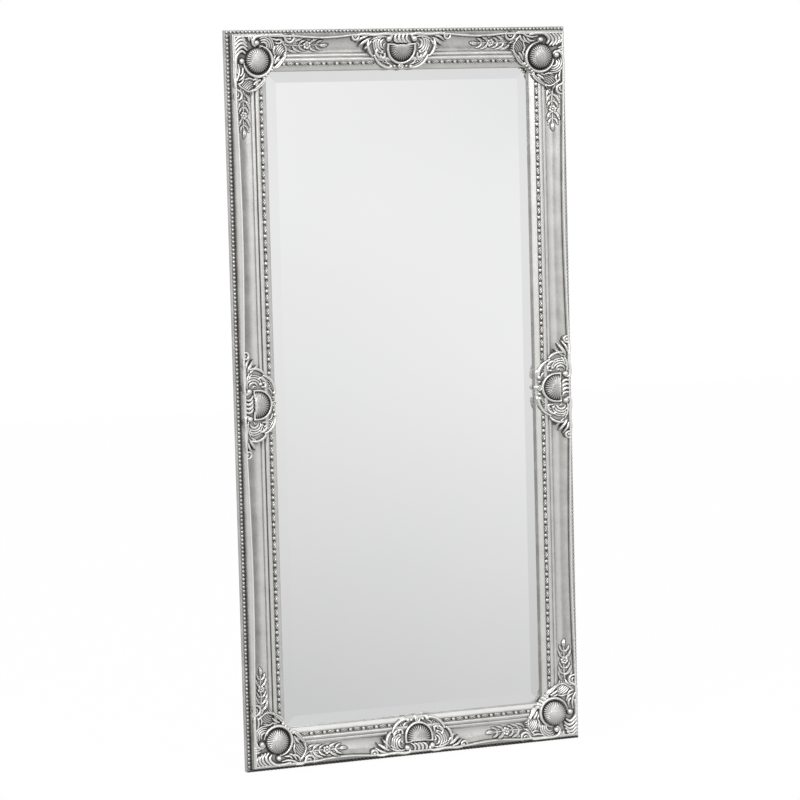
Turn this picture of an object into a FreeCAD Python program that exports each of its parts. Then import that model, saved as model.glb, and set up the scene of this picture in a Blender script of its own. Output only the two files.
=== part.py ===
import FreeCAD, Part
import math
import os
import re
import Sketcher
from FreeCAD import Placement, Rotation, Vector

# A baroque wall mirror: four mitred silver-leafed rails with pearl strips, cast cartouches in the corners and
# in the middle of each rail, leaf sprigs in the cove, a bevelled glass, its backing and its hanging hardware.
#
# The frame is +X to the right seen from the front, +Z up and the front towards -Y, in millimetres.
# The origin is on the wall plane, in the middle of the width, level with the lowest edge.
# Each rail, and each ornament on it, is drawn with X along the rail, Z inwards from the rail's outer edge and
# Y = 0 on the rail's back; a height above that back is therefore a negative Y.

SIZES = {
    # Outside of the frame
    "FrameWidth": 840, "FrameHeight": 1700,
    # Widths across the rail, from the outer edge inwards
    "PearlSeatWidth": 9.2, "LipFootStep": 0.8, "LipSlopeWidth": 3.3, "LipCrestWidth": 3.3,
    "LipWallWidth": 1.4, "CoveWidth": 36.5, "OuterReedWidth": 9.5, "InnerReedWidth": 10.3,
    "ReelSeatWidth": 8.9, "SightSlopeWidth": 9.8, "SightNoseWidth": 1.0,
    # Heights of the rail above its back
    "EdgeHeight": 16, "LipFootHeight": 31, "LipShoulderHeight": 42.6, "LipCrestRound": 1.4,
    "LipWallHeight": 34, "CoveEndHeight": 23, "CoveSag": 5.8, "QuirkHeight": 26.7, "ReedRound": 3.2,
    "ReedEndHeight": 28, "ReelSeatDepth": 3, "SightSlopeRise": 1, "SightSlopeFall": 6.7, "SightNoseDrop": 1,
    # Rebate for the glass
    "RebateHeight": 11, "RebateWidth": 7,
    # The lip swells inwards between the ornaments
    "LipSwell": 5, "SwellInset": 0.3, "SwellFootHeight": 24, "SwellFootStep": 2,
    # Strips of pearls and of bead and reel
    "PearlRadius": 4, "PearlPitch": 9.1, "PearlRise": 3, "PearlThread": 2,
    "ReelRadius": 4, "ReelBeadLength": 9.9, "ReelLength": 11, "ReelRise": 3, "ReelThread": 2, "ReelGap": 0.4,
    # Field that the cast ornaments stand on, over the outer edge and over the sight edge
    "FieldEdgeHeight": 46.8, "FieldSightHeight": 29.4, "FieldBase": 14, "FieldMargin": 0.4,
    # Boss: a dome in a dish with a round rim
    "RimRadius": 33.5, "RimWire": 2.8, "DomeRadius": 16.5, "DomeRise": 8, "DishRadius": 28, "DishRise": 3,
    "SeedRadius": 2, "BossLift": 5,
    # Centre cartouche
    "CrestReach": 119, "BorderWire": 3, "BorderBall": 4, "VoluteRadius": 9, "VoluteStep": 8,
    "VoluteWire": 3.4, "VoluteBall": 5, "CrestFluteLength": 11, "CrestFluteWidth": 3, "CrestFluteRise": 4,
    "CrestKnob": 5, "KnobWire": 2, "LeafLobeLength": 10, "LeafLobeWidth": 5, "LeafLobeRise": 5,
    "ScrollRadius": 7, "ScrollWire": 2.2,
    # Corner cartouche
    "CornerReach": 154, "CornerBossIn": 71, "ShellHingeIn": 44, "ShellRibLength": 15, "ShellRibWidth": 4,
    "ShellRibRise": 5, "ShellRibRadius": 22, "LipLeafRadius": 47, "LipLeafWire": 5, "LeafCurl": 8,
    "CurlWire": 3, "BandLength": 27, "BandWidth": 4.6, "BandRise": 5, "CornerKnob": 6,
    # Sprig of leaves in the cove
    "SprigReach": 241, "SprigLength": 93, "SprigIn": 37, "SprigHeight": 24.5, "StemRadius": 3.2,
    "LeafletLength": 8.5, "LeafletWidth": 3, "LeafletRise": 4, "LeafletStep": 2, "LeafletSpread": 6,
    "PetalRadius": 3.4, "PetalSpread": 5.2, "PetalRise": 3, "BudLength": 11.5, "BudWidth": 4.2,
    # Glass and backing
    "GlassPlay": 1, "GlassThickness": 5, "GlassEdge": 3, "BevelWidth": 32, "BoardThickness": 3,
    # Glazing points
    "PointLength": 15, "PointWidth": 9, "PointThickness": 0.8, "PointBite": 7, "PointPitch": 210,
    # V-nails in the mitres
    "NailLeg": 6, "NailThickness": 0.7, "NailDepth": 10, "NailOuterIn": 26, "NailInnerIn": 66,
    # Wall bumpers
    "BumperThickness": 6, "BumperRadius": 8, "BumperFace": 7, "BumperAcross": 300, "BumperIn": 42,
    # Strap hangers with D-rings
    "HangerIn": 44, "HangerDrop": 350, "StrapLength": 46, "StrapWidth": 15, "StrapThickness": 1.2,
    "StrapCorner": 4, "RingWire": 1.5, "RingFit": 0.05, "RingWidth": 26, "RingDrop": 19, "RingCorner": 4,
    "RingButt": 0.6, "RingRest": 0.3, "StrapHoleFirst": 27, "StrapHolePitch": 12, "StrapHole": 2.2,
    "ScrewShank": 1.8, "ScrewLength": 18, "ScrewHead": 3.6, "ScrewHeadHeight": 2,
    # How far a cutting shape runs past what it cuts
    "Overrun": 4,
}

# Distances in from the outer edge, and heights, as sums of the sizes above
LIP_FOOT = "(PearlSeatWidth + LipFootStep)"
LIP_SHOULDER = f"({LIP_FOOT} + LipSlopeWidth)"
LIP_INNER = f"({LIP_SHOULDER} + LipCrestWidth)"
LIP_WALL = f"({LIP_INNER} + LipWallWidth)"
COVE_END = f"({LIP_WALL} + CoveWidth)"
QUIRK = f"({COVE_END} + OuterReedWidth)"
REED_END = f"({QUIRK} + InnerReedWidth)"
REEL_SEAT_END = f"({REED_END} + ReelSeatWidth)"
SLOPE_END = f"({REEL_SEAT_END} + SightSlopeWidth)"
RAIL_WIDTH = f"({SLOPE_END} + SightNoseWidth)"
REBATE_EDGE = f"({RAIL_WIDTH} - RebateWidth)"
LIP_HEIGHT = "(LipShoulderHeight + LipCrestRound)"
REEL_SEAT_HEIGHT = "(ReedEndHeight - ReelSeatDepth)"
SLOPE_TOP_HEIGHT = f"({REEL_SEAT_HEIGHT} + SightSlopeRise)"
SLOPE_FOOT_HEIGHT = f"({SLOPE_TOP_HEIGHT} - SightSlopeFall)"
GLASS_EDGE_IN = f"({REBATE_EDGE} + GlassPlay)"
GLASS_BACK = ("(RebateHeight - GlassEdge"
              " - (GlassThickness - GlassEdge) * (RebateWidth - GlassPlay) / BevelWidth)")
BOARD_BACK = f"({GLASS_BACK} - BoardThickness)"

# The ornaments' field starts just inside the lip's foot and ends at the sight edge
FIELD_START = f"({LIP_FOOT} + FieldMargin)"
FIELD_DEPTH = f"({RAIL_WIDTH} - {FIELD_START})"
FIELD_FALL = f"((FieldEdgeHeight - FieldSightHeight) / {RAIL_WIDTH})"

ALONG_X = Vector(1, 0, 0)
ALONG_Y = Vector(0, 1, 0)
ALONG_Z = Vector(0, 0, 1)
FULL_TURN = 360
QUARTER_TURN = 90
# Rise of a quarter arc over its chord, as a share of its radius
QUARTER_ARC = "(1 - sqrt(1 / 2))"
QUARTER_RISE = f"(StrapCorner * {QUARTER_ARC})"

doc = FreeCAD.newDocument("BaroqueMirror")
sheet = doc.addObject("Spreadsheet::Sheet", "Sizes")
for row, (alias, value) in enumerate(SIZES.items(), start=1):
    sheet.set(f"A{row}", alias)
    sheet.set(f"B{row}", str(value))
    sheet.setAlias(f"B{row}", alias)
doc.recompute()

# The objects that are pieces of the mirror, by the name of their file
nodes = {}


def linked(formula):
    """The formula with each named size written as a cell of the sheet."""
    def cell(word):
        return "Sizes." + word.group() if word.group() in SIZES else word.group()
    return re.sub(r"[A-Za-z]+", cell, formula)


def mm(formula):
    """The value of a formula of named sizes."""
    value = sheet.evalExpression(formula)
    return float(getattr(value, "Value", value))


def bind(target, **formulas):
    for name, formula in formulas.items():
        target.setExpression(name, linked(formula))


def place(target, x="0", y="0", z="0", turn=Rotation()):
    """Puts a piece at a place given by formulas, turned by a fixed rotation."""
    target.Placement = Placement(Vector(mm(x), mm(y), mm(z)), turn)
    for axis, formula in zip("xyz", (x, y, z)):
        target.setExpression("Placement.Base." + axis, linked(formula))
    return target


def keep(target, label):
    target.Label = label
    nodes[label] = target
    return target


# Sketches and features of a body

def new_body(name):
    return doc.addObject("PartDesign::Body", name)


def new_sketch(body, name, role, offset="0"):
    """A sketch on one of the body's own origin planes, moved along the plane's normal."""
    sketch = body.newObject("Sketcher::SketchObject", name)
    plane = next(plane for plane in body.Origin.OriginFeatures if plane.Role == role)
    sketch.AttachmentSupport = [(plane, "")]
    sketch.MapMode = "FlatFace"
    sketch.setExpression("AttachmentOffset.Base.z", linked(offset))
    return sketch


def draw(sketch, corners, rises=None, closed=True):
    """An outline through corners; rises gives the edges that are arcs, by the rise over their chord."""
    rises = rises or {}
    points = [Vector(mm(across), mm(up), 0) for across, up in corners]
    edges = []
    for index, start in enumerate(points if closed else points[:-1]):
        end = points[(index + 1) % len(points)]
        shape = Part.LineSegment(start, end)
        if index in rises:
            chord = end - start
            left = Vector(-chord.y, chord.x, 0).normalize()
            shape = Part.Arc(start, (start + end) / 2 + left * mm(rises[index]), end)
        edge = sketch.addGeometry(shape, False)
        to_first = sketch.getPoint(edge, 1).distanceToPoint(start)
        to_second = sketch.getPoint(edge, 2).distanceToPoint(start)
        edges.append((edge, 1, 2) if to_first < to_second else (edge, 2, 1))
    for (edge, first, last), (following, start, _) in zip(edges, edges[1:] + edges[:1] * closed):
        sketch.addConstraint(Sketcher.Constraint("Coincident", edge, last, following, start))
    fixed = edges if closed else edges + [(edges[-1][0], edges[-1][2], None)]
    for (edge, first, _), corner in zip(fixed, corners):
        for kind, formula in zip(("DistanceX", "DistanceY"), corner):
            number = sketch.addConstraint(Sketcher.Constraint(kind, -1, 1, edge, first, mm(formula)))
            sketch.setExpression(f"Constraints[{number}]", linked(formula))
    for index, rise in rises.items():
        (x0, y0), (x1, y1) = corners[index], corners[(index + 1) % len(corners)]
        half_chord_squared = f"(({x1} - {x0})^2 + ({y1} - {y0})^2) / 4"
        radius = f"abs(({half_chord_squared} + ({rise})^2) / (2 * ({rise})))"
        number = sketch.addConstraint(Sketcher.Constraint("Radius", edges[index][0], mm(radius)))
        sketch.setExpression(f"Constraints[{number}]", linked(radius))


def draw_circle(sketch, x, y, radius):
    centre = Vector(mm(x), mm(y), 0)
    edge = sketch.addGeometry(Part.Circle(centre, Vector(0, 0, 1), mm(radius)), False)
    for kind, formula in (("DistanceX", x), ("DistanceY", y)):
        number = sketch.addConstraint(Sketcher.Constraint(kind, -1, 1, edge, 3, mm(formula)))
        sketch.setExpression(f"Constraints[{number}]", linked(formula))
    number = sketch.addConstraint(Sketcher.Constraint("Radius", edge, mm(radius)))
    sketch.setExpression(f"Constraints[{number}]", linked(radius))


def rectangle(sketch, left, right, low, high):
    """A rectangle, by the formulas of its sides."""
    draw(sketch, [(left, low), (right, low), (right, high), (left, high)])


def pad(body, sketch, length, midplane=False, reverse=False):
    feature = body.newObject("PartDesign::Pad", sketch.Name + "_pad")
    feature.Profile = sketch
    feature.Midplane = midplane
    feature.Reversed = reverse
    bind(feature, Length=length)
    return feature


def pocket_through(body, sketch):
    """Cuts a sketch through the whole body, both ways from its plane."""
    feature = body.newObject("PartDesign::Pocket", sketch.Name + "_pocket")
    feature.Profile = sketch
    feature.Type = "ThroughAll"
    feature.Midplane = True
    return feature


def loft(body, sketches):
    feature = body.newObject("PartDesign::AdditiveLoft", sketches[0].Name + "_loft")
    feature.Profile = sketches[0]
    feature.Sections = sketches[1:]
    return feature


# Solids that stand on the plane Y = 0 of an ornament, and their unions

def ball(x, z, radius, y="0"):
    piece = doc.addObject("Part::Sphere", "ball")
    bind(piece, Radius=radius)
    return place(piece, x, y, z)


def lobe(x, z, length, width, rise, degrees, y="0"):
    """An ellipsoid whose length points at an angle from X towards Z."""
    piece = doc.addObject("Part::Ellipsoid", "lobe")
    bind(piece, Radius1=length, Radius2=width, Radius3=rise)
    return place(piece, x, y, z, Rotation(ALONG_Y, QUARTER_TURN - degrees))


def hoop(x, z, radius, wire, start=0, sweep=FULL_TURN, y="0"):
    """A round wire bent round a centre, from an angle off X towards Z."""
    piece = doc.addObject("Part::Torus", "hoop")
    bind(piece, Radius1=radius, Radius2=wire)
    piece.Angle3 = sweep
    return place(piece, x, y, z, Rotation(ALONG_X, QUARTER_TURN).multiply(Rotation(ALONG_Z, start)))


def bar(x, z, length, wire, turn, y="0"):
    piece = doc.addObject("Part::Cylinder", "bar")
    bind(piece, Radius=wire, Height=length)
    return place(piece, x, y, z, turn)


def frustum(x, z, foot, top, rise, y="0"):
    """A cone that stands on the plane and points to the front."""
    piece = doc.addObject("Part::Cone", "frustum")
    bind(piece, Radius1=foot, Radius2=top, Height=rise)
    return place(piece, x, y, z, Rotation(ALONG_X, QUARTER_TURN))


def fuse(name, pieces):
    """A union that keeps its seams: merging the curved faces of a relief would damage it."""
    union = doc.addObject("Part::MultiFuse", name)
    union.Shapes = pieces
    union.Refine = False
    return union


def cut(name, base, tool):
    difference = doc.addObject("Part::Cut", name)
    difference.Base = base
    difference.Tool = tool
    difference.Refine = False
    return difference


def mirror(name, source, normal):
    image = doc.addObject("Part::Mirroring", name)
    image.Source = source
    image.Normal = normal
    return image


def group(name, pieces):
    members = doc.addObject("Part::Compound", name)
    members.Links = pieces
    return members


def polar(centre, radius, degrees):
    """Formulas for the point at a distance and an angle from a centre."""
    across, along = math.cos(math.radians(degrees)), math.sin(math.radians(degrees))
    return f"{centre[0]} + {across:.6f} * {radius}", f"{centre[1]} + {along:.6f} * {radius}"


# Rails

RAIL_PROFILE = [
    ("0", "0"),
    ("0", "EdgeHeight"),
    ("PearlSeatWidth", "EdgeHeight"),
    (LIP_FOOT, "LipFootHeight"),
    (LIP_SHOULDER, "LipShoulderHeight"),
    (LIP_INNER, "LipShoulderHeight"),
    (LIP_WALL, "LipWallHeight"),
    (COVE_END, "CoveEndHeight"),
    (QUIRK, "QuirkHeight"),
    (REED_END, "ReedEndHeight"),
    (REED_END, REEL_SEAT_HEIGHT),
    (REEL_SEAT_END, REEL_SEAT_HEIGHT),
    (REEL_SEAT_END, SLOPE_TOP_HEIGHT),
    (SLOPE_END, SLOPE_FOOT_HEIGHT),
    (RAIL_WIDTH, f"({SLOPE_FOOT_HEIGHT} - SightNoseDrop)"),
    (RAIL_WIDTH, "RebateHeight"),
    (REBATE_EDGE, "RebateHeight"),
    (REBATE_EDGE, "0"),
]
# The crest of the lip, the cove and the two reeds, by the corner that each starts from
RAIL_ARCS = {4: "LipCrestRound", 6: "-CoveSag", 7: "ReedRound", 8: "ReedRound"}

# Each side of the frame: its place, and the turn about Y that brings a rail drawn along X to it
SIDES = {
    "bottom": ("0", "0", 0),
    "top": ("0", "FrameHeight", 180),
    "left": ("-FrameWidth / 2", "FrameHeight / 2", 90),
    "right": ("FrameWidth / 2", "FrameHeight / 2", -90),
}
SIDE_NAMES = {"bottom": "bottom_rail", "top": "top_rail", "left": "left_stile", "right": "right_stile"}
SIDE_LENGTHS = {"bottom": "FrameWidth", "top": "FrameWidth", "left": "FrameHeight", "right": "FrameHeight"}

# Each corner: its place and the turn that brings the bottom left corner to it
CORNERS = {
    "bottom_left": ("-FrameWidth / 2", "0", 0),
    "bottom_right": ("FrameWidth / 2", "0", -90),
    "top_right": ("FrameWidth / 2", "FrameHeight", 180),
    "top_left": ("-FrameWidth / 2", "FrameHeight", 90),
}


def on_side(target, side, y="-BumperThickness"):
    x, z, degrees = SIDES[side]
    return place(target, x, y, z, Rotation(ALONG_Y, degrees))


def in_corner(target, corner, y="-BumperThickness"):
    x, z, degrees = CORNERS[corner]
    return place(target, x, y, z, Rotation(ALONG_Y, degrees))


def swell_section(swell):
    """The section of the lip's swell, drawn as the rail's profile is, with the crest moved inwards."""
    inner = "SwellInset"
    return [
        (f"({LIP_FOOT} + {inner})", "SwellFootHeight"),
        (f"({LIP_FOOT} + {inner})", f"(LipFootHeight - {inner})"),
        (f"({LIP_SHOULDER} + {inner} + {swell})", f"(LipShoulderHeight - {inner})"),
        (f"(({LIP_SHOULDER} + {LIP_INNER}) / 2 + {swell})", f"({LIP_HEIGHT} - {inner})"),
        (f"({LIP_INNER} - {inner} + {swell})", f"(LipShoulderHeight - {inner})"),
        (f"({LIP_WALL} - {inner} + {swell})", "LipWallHeight"),
        (f"({LIP_WALL} + SwellFootStep + {swell})", "SwellFootHeight"),
    ]


def on_section(points):
    """Turns points across the rail and up from its back into the YZ plane's own directions."""
    return [(f"-{height}", width) for width, height in points]


def rail(side):
    """A mitred length of the moulding, with the two swells of its lip."""
    length = SIDE_LENGTHS[side]
    name = SIDE_NAMES[side]
    body = new_body(name)
    profile = new_sketch(body, name + "_profile", "YZ_Plane")
    draw(profile, on_section(RAIL_PROFILE), RAIL_ARCS)
    pad(body, profile, length, midplane=True)
    outer_end = f"({length} / 2 - CornerReach)"
    middle = f"(({outer_end} + CrestReach) / 2)"
    for sign in ("-", ""):
        stations = ((outer_end, "0"), (middle, "LipSwell"), ("CrestReach", "0"))
        sections = []
        for station, swell in stations:
            section = new_sketch(body, name + "_swell", "YZ_Plane", sign + station)
            draw(section, on_section(swell_section(swell)))
            sections.append(section)
        loft(body, sections)
    mitres = new_sketch(body, name + "_mitres", "XZ_Plane")
    deep = f"({RAIL_WIDTH} + Overrun)"
    for sign in ("-", ""):
        end = f"{length} / 2"
        past = f"{sign}({end} + Overrun)"
        draw(mitres, [(past, "-Overrun"), (f"{sign}({end} - {deep})", deep), (past, deep)])
    pocket_through(body, mitres)
    return on_side(body, side)


for side_name in SIDES:
    keep(rail(side_name), SIDE_NAMES[side_name])


# Strips of pearls, and of bead and reel

def turned(points_and_arcs):
    """Revolves an outline about X. Its steps are end points, or middle and end points of arcs."""
    edges = []
    start = points_and_arcs[0]
    for step in points_and_arcs[1:]:
        if isinstance(step, tuple):
            crown, end = step
            edges.append(Part.Arc(start, crown, end).toShape())
        else:
            end = step
            edges.append(Part.LineSegment(start, end).toShape())
        start = end
    edges.append(Part.LineSegment(start, points_and_arcs[0]).toShape())
    return Part.Face(Part.Wire(edges)).revolve(Vector(), ALONG_X, FULL_TURN)


def moved_to(shape, width, height):
    return shape.translated(Vector(0, -height, width))


def pearl_strip(side):
    """A row of pearls from mitre to mitre on its seat; a pearl is halved by each mitre."""
    length = mm(SIDE_LENGTHS[side])
    radius, thread = mm("PearlRadius"), mm("PearlThread")
    seat, rise = mm("EdgeHeight"), mm("PearlRise")
    width = mm("PearlSeatWidth / 2")
    span = length - 2 * width
    count = max(1, round(span / mm("PearlPitch")))
    waist = math.sqrt(radius**2 - thread**2)
    steps = [Vector(-span / 2 - radius, 0, 0)]
    for number in range(count + 1):
        centre = -span / 2 + number * span / count
        last = number == count
        start = Vector(centre - waist, 0, thread)
        end = Vector(centre + radius, 0, 0) if last else Vector(centre + waist, 0, thread)
        if number:
            steps.append(start)
        steps.append((Vector(centre, 0, radius), end))
    strip = moved_to(turned(steps), width, seat + rise)
    deep = mm("PearlSeatWidth")
    plan = [(-length / 2, 0), (length / 2, 0), (length / 2 - deep, deep), (-length / 2 + deep, deep)]
    outline = Part.makePolygon([Vector(x, -seat, z) for x, z in plan + plan[:1]])
    mitred = Part.Face(outline).extrude(Vector(0, -(rise + 2 * radius), 0))
    feature = doc.addObject("Part::Feature", side + "_pearls")
    feature.Shape = strip.common(mitred)
    return on_side(feature, side)


# The spool of a reel, as shares of its length and of its radius
SPOOL_SHARES = ((0.12, 0.8), (0.3, 1.0), (0.7, 1.0), (0.88, 0.8))


def reel_run(start, end):
    """Beads and reels from one ornament to the next: two beads, then a reel."""
    radius, thread = mm("ReelRadius"), mm("ReelThread")
    period = mm("2 * ReelBeadLength + ReelLength")
    count = max(1, round((end - start) / period))
    stretch = (end - start) / (count * period)
    bead, reel = mm("ReelBeadLength") * stretch, mm("ReelLength") * stretch
    steps = [Vector(start, 0, 0), Vector(start, 0, thread)]
    place_now = start
    for _ in range(count):
        for _ in range(2):
            steps.append((Vector(place_now + bead / 2, 0, radius), Vector(place_now + bead, 0, thread)))
            place_now += bead
        for along, out in SPOOL_SHARES:
            steps.append(Vector(place_now + along * reel, 0, out * radius))
        place_now += reel
        steps.append(Vector(place_now, 0, thread))
    steps.append(Vector(place_now, 0, 0))
    run = moved_to(turned(steps), mm(f"{REED_END} + ReelSeatWidth / 2"), mm(f"{REEL_SEAT_HEIGHT} + ReelRise"))
    seat = mm(REEL_SEAT_HEIGHT)
    above = Part.makeBox(end - start, mm("ReelRise") + radius, mm(RAIL_WIDTH),
                         Vector(start, -seat - mm("ReelRise") - radius, 0))
    return run.common(above)


# How far the ornaments reach where they cross the reel strips
CREST_AT_REELS_SHARE = 0.545
CORNER_AT_REELS_SHARE = 0.835


def reel_strip(side):
    inner = mm(f"CrestReach * {CREST_AT_REELS_SHARE} + ReelGap")
    outer = mm(f"{SIDE_LENGTHS[side]} / 2 - CornerReach * {CORNER_AT_REELS_SHARE} - ReelGap")
    feature = doc.addObject("Part::Feature", side + "_reels")
    feature.Shape = Part.makeCompound([reel_run(-outer, -inner), reel_run(inner, outer)])
    return on_side(feature, side)


for side_name in SIDES:
    keep(pearl_strip(side_name), side_name + "_pearl_strip")
    keep(reel_strip(side_name), side_name + "_bead_and_reel_strip")


# Cast ornaments

def field(name, outline, rises, far):
    """The ground of an ornament: its outline raised from the rail up to a plane that falls inwards."""
    body = new_body(name)
    plan = new_sketch(body, name + "_plan", "XZ_Plane", "FieldBase")
    draw(plan, outline, rises)
    pad(body, plan, "(FieldEdgeHeight + Overrun - FieldBase)")
    crown = new_sketch(body, name + "_crown", "YZ_Plane")
    above = "(FieldEdgeHeight + 2 * Overrun)"
    draw(crown, [
        (f"-(FieldEdgeHeight + Overrun * {FIELD_FALL})", "-Overrun"),
        (f"-(FieldEdgeHeight - {far} * {FIELD_FALL})", far),
        (f"-{above}", far),
        (f"-{above}", "-Overrun"),
    ])
    pocket_through(body, crown)
    return body


def lay(relief, height="FieldEdgeHeight", axis=Vector(-1, 0, 0), fall=FIELD_FALL):
    """Lays the relief, modelled on the plane Y = 0, on a plane that falls inwards from the outer edge."""
    relief.Placement = Placement(Vector(0, -mm(height), 0), Rotation(axis, 1))
    relief.setExpression("Placement.Base.y", linked(f"-({height})"))
    relief.setExpression("Placement.Rotation.Angle", linked(f"atan({fall})"))
    return relief


def outside_block(name, length):
    """The space outside the lip's foot, kept clear for the pearls."""
    block = doc.addObject("Part::Box", name)
    bind(block, Length=length, Width="FieldEdgeHeight + 2 * Overrun",
         Height=f"{LIP_FOOT} + FieldMargin + Overrun")
    return block


# Centre cartouche: places are shares of its reach along the rail and of the field's depth
CREST_OUTLINE_SHARES = ((0.94, 0.0), (0.975, 0.19), (0.85, 0.31), (0.715, 0.42), (0.57, 0.65), (0.25, 0.985),
                        (0.085, 0.965))
CREST_RISE_SHARES = (0.045, 0.02, 0.02, 0.05, 0.075)
CREST_BOSS_SHARES = (0, 0.44)
CREST_VOLUTE_SHARES = (0.33, 0.29)
CREST_BORDER_SHARES = ((0.42, 0.36, 0.27, 0, 62), (0.225, 0.47, 0.345, 22, 68))
CREST_BORDER_BALL_SHARES = (0.24, 0.95)
CREST_VOLUTE_BALL_SHARES = (0.22, 0.2)
CREST_SCROLL_SHARES = (0.44, 0.66)
CREST_KNOB_SHARES = (0, 0.94)
# Where the rings of a volute and of a scroll start, and how far they sweep, in degrees
VOLUTE_ARCS = ((-200, 240), (-110, 160), (-75, 110))
SCROLL_ARC = (0, 250)
# Length, width and rise of a lobe of the leaves along the lip
LEAF_LOBE = ("LeafLobeLength", "LeafLobeWidth", "LeafLobeRise")
CREST_LOBE_SHARES = ((0.93, 0.12, 15), (0.87, 0.22, 40), (0.79, 0.31, 58))
CREST_FLUTE_SHARES = ((0.04, 0.14, 84), (0.12, 0.15, 70))


def crest_place(across_share, deep_share):
    return f"CrestReach * {across_share}", f"({FIELD_START} + {FIELD_DEPTH} * {deep_share})"


def crest_outline():
    half = [crest_place(*shares) for shares in CREST_OUTLINE_SHARES]
    mirrored = [("-" + across, deep) for across, deep in reversed(half)]
    outline = half + mirrored
    rises = {number: f"CrestReach * {-share}" for number, share in enumerate(CREST_RISE_SHARES)}
    count = len(outline)
    rises.update({count - 2 - number: rise for number, rise in rises.items()})
    return outline, rises


# The half rim stands on straight feet, with two seeds between them
RIM_FOOT_SHARE = 0.3
SEED_PLACE_SHARE = 2.2


def boss(centre, half=False):
    """A dome in a dish with a rim: a whole ring, or a U that is closed by a straight bar."""
    x, z = centre
    pieces = [
        frustum(x, z, "DishRadius + RimWire", "DomeRadius", "DishRise"),
        lobe(x, z, "DomeRadius", "DomeRadius", "DomeRise", 0, "-DishRise"),
    ]
    if half:
        foot = f"RimRadius * {RIM_FOOT_SHARE}"
        corner_z = f"({z} - {foot})"
        pieces.append(hoop(x, z, "RimRadius", "RimWire", 0, 180))
        for sign in ("-", ""):
            side = f"({x} {sign or '+'} RimRadius)"
            pieces.append(bar(side, corner_z, foot, "RimWire", Rotation()))
            pieces.append(ball(side, corner_z, "RimWire"))
            seed = f"({x} {sign or '+'} SeedRadius * {SEED_PLACE_SHARE})"
            pieces.append(ball(seed, corner_z, "SeedRadius", "-DishRise"))
        pieces.append(bar(f"({x} - RimRadius)", corner_z, "2 * RimRadius", "RimWire",
                          Rotation(ALONG_Y, QUARTER_TURN)))
    else:
        pieces.append(hoop(x, z, "RimRadius", "RimWire"))
    return pieces


def crest():
    """The centre cartouche, on the middle of the bottom rail."""
    ground = field("crest_field", *crest_outline(), f"({RAIL_WIDTH} + Overrun)")
    half = []
    for across, deep, radius, start, sweep in CREST_BORDER_SHARES:
        half.append(hoop(*crest_place(across, deep), f"CrestReach * {radius}", "BorderWire", start, sweep))
    half.append(ball(*crest_place(*CREST_BORDER_BALL_SHARES), "BorderBall"))
    volute = crest_place(*CREST_VOLUTE_SHARES)
    for turn_number, (start, sweep) in enumerate(VOLUTE_ARCS):
        radius = f"(VoluteRadius + {turn_number} * VoluteStep)"
        half.append(hoop(*volute, radius, "VoluteWire", start, sweep))
    half.append(ball(*crest_place(*CREST_VOLUTE_BALL_SHARES), "VoluteBall"))
    half.append(hoop(*crest_place(*CREST_SCROLL_SHARES), "ScrollRadius", "ScrollWire", *SCROLL_ARC))
    for across, deep, degrees in CREST_LOBE_SHARES:
        half.append(lobe(*crest_place(across, deep), *LEAF_LOBE, degrees))
    for across, deep, degrees in CREST_FLUTE_SHARES:
        half.append(lobe(*crest_place(across, deep), "CrestFluteLength", "CrestFluteWidth", "CrestFluteRise",
                         degrees))
    right_half = fuse("crest_right", half)
    left_half = mirror("crest_left", right_half, ALONG_X)
    knob_place = crest_place(*CREST_KNOB_SHARES)
    knob = [hoop(*knob_place, "CrestKnob", "KnobWire"), ball(*knob_place, "KnobWire")]
    middle = boss(crest_place(*CREST_BOSS_SHARES), half=True)
    relief = fuse("crest_relief", [right_half, left_half] + middle + knob)
    blank = fuse("crest_blank", [ground, lay(relief)])
    place(blank, y="-BumperThickness")
    clear = outside_block("crest_clear", "2 * (CrestReach + Overrun)")
    place(clear, "-(CrestReach + Overrun)", "-(FieldEdgeHeight + 2 * Overrun + BumperThickness)", "-Overrun")
    bed = fuse("crest_bed", [nodes["bottom_rail"], clear])
    return cut("crest", blank, bed)


crest_master = crest()
for side_name in SIDES:
    copy = group(side_name + "_crest", [crest_master])
    keep(on_side(copy, side_name, "0"), side_name + "_centre_cartouche")


# Corner cartouche, in the bottom left corner: places are shares of its reach, from the frame's outer corner
CORNER_OUTLINE_SHARES = ((0.955, None), (0.985, 0.14), (0.93, 0.215), (0.89, 0.3), (0.75, 0.6), (0.61, 0.61))
CORNER_RISE_SHARES = {1: -0.035, 2: -0.015, 4: -0.03}
CORNER_BAND_SHARES = ((0.82, 0.45, 1.0), (0.755, 0.43, 0.75))
CORNER_LEAF_SHARES = ((0.6, 0.155, -12), (0.7, 0.175, 4), (0.79, 0.19, 14), (0.74, 0.27, 40))
CORNER_BALL_SHARES = (0.45, 0.185)
CORNER_CURL_SHARES = (0.925, 0.15)
BAND_DEGREES = 116
# Where the leaf along the lip and its curl start, and how far they sweep, in degrees
LIP_LEAF_ARC = (-88, 62)
LEAF_CURL_ARC = (-110, 260)
SHELL_MIDDLE_DEGREES = 225
SHELL_SIDE_DEGREES = (248, 271)
DIAGONAL = Vector(1, 0, -1)


def corner_place(across_share, up_share):
    up = FIELD_START if up_share is None else f"CornerReach * {up_share}"
    return f"CornerReach * {across_share}", up


def corner_outline():
    """The outline of the bottom rail's half, closed along the diagonal."""
    outline = [(FIELD_START, FIELD_START)] + [corner_place(*shares) for shares in CORNER_OUTLINE_SHARES]
    return outline, {edge: f"CornerReach * {share}" for edge, share in CORNER_RISE_SHARES.items()}


def shell_rib(degrees, y="0"):
    place_on_arc = polar(("ShellHingeIn", "ShellHingeIn"), "ShellRibRadius", degrees)
    return lobe(*place_on_arc, "ShellRibLength", "ShellRibWidth", "ShellRibRise", degrees, y)


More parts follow.
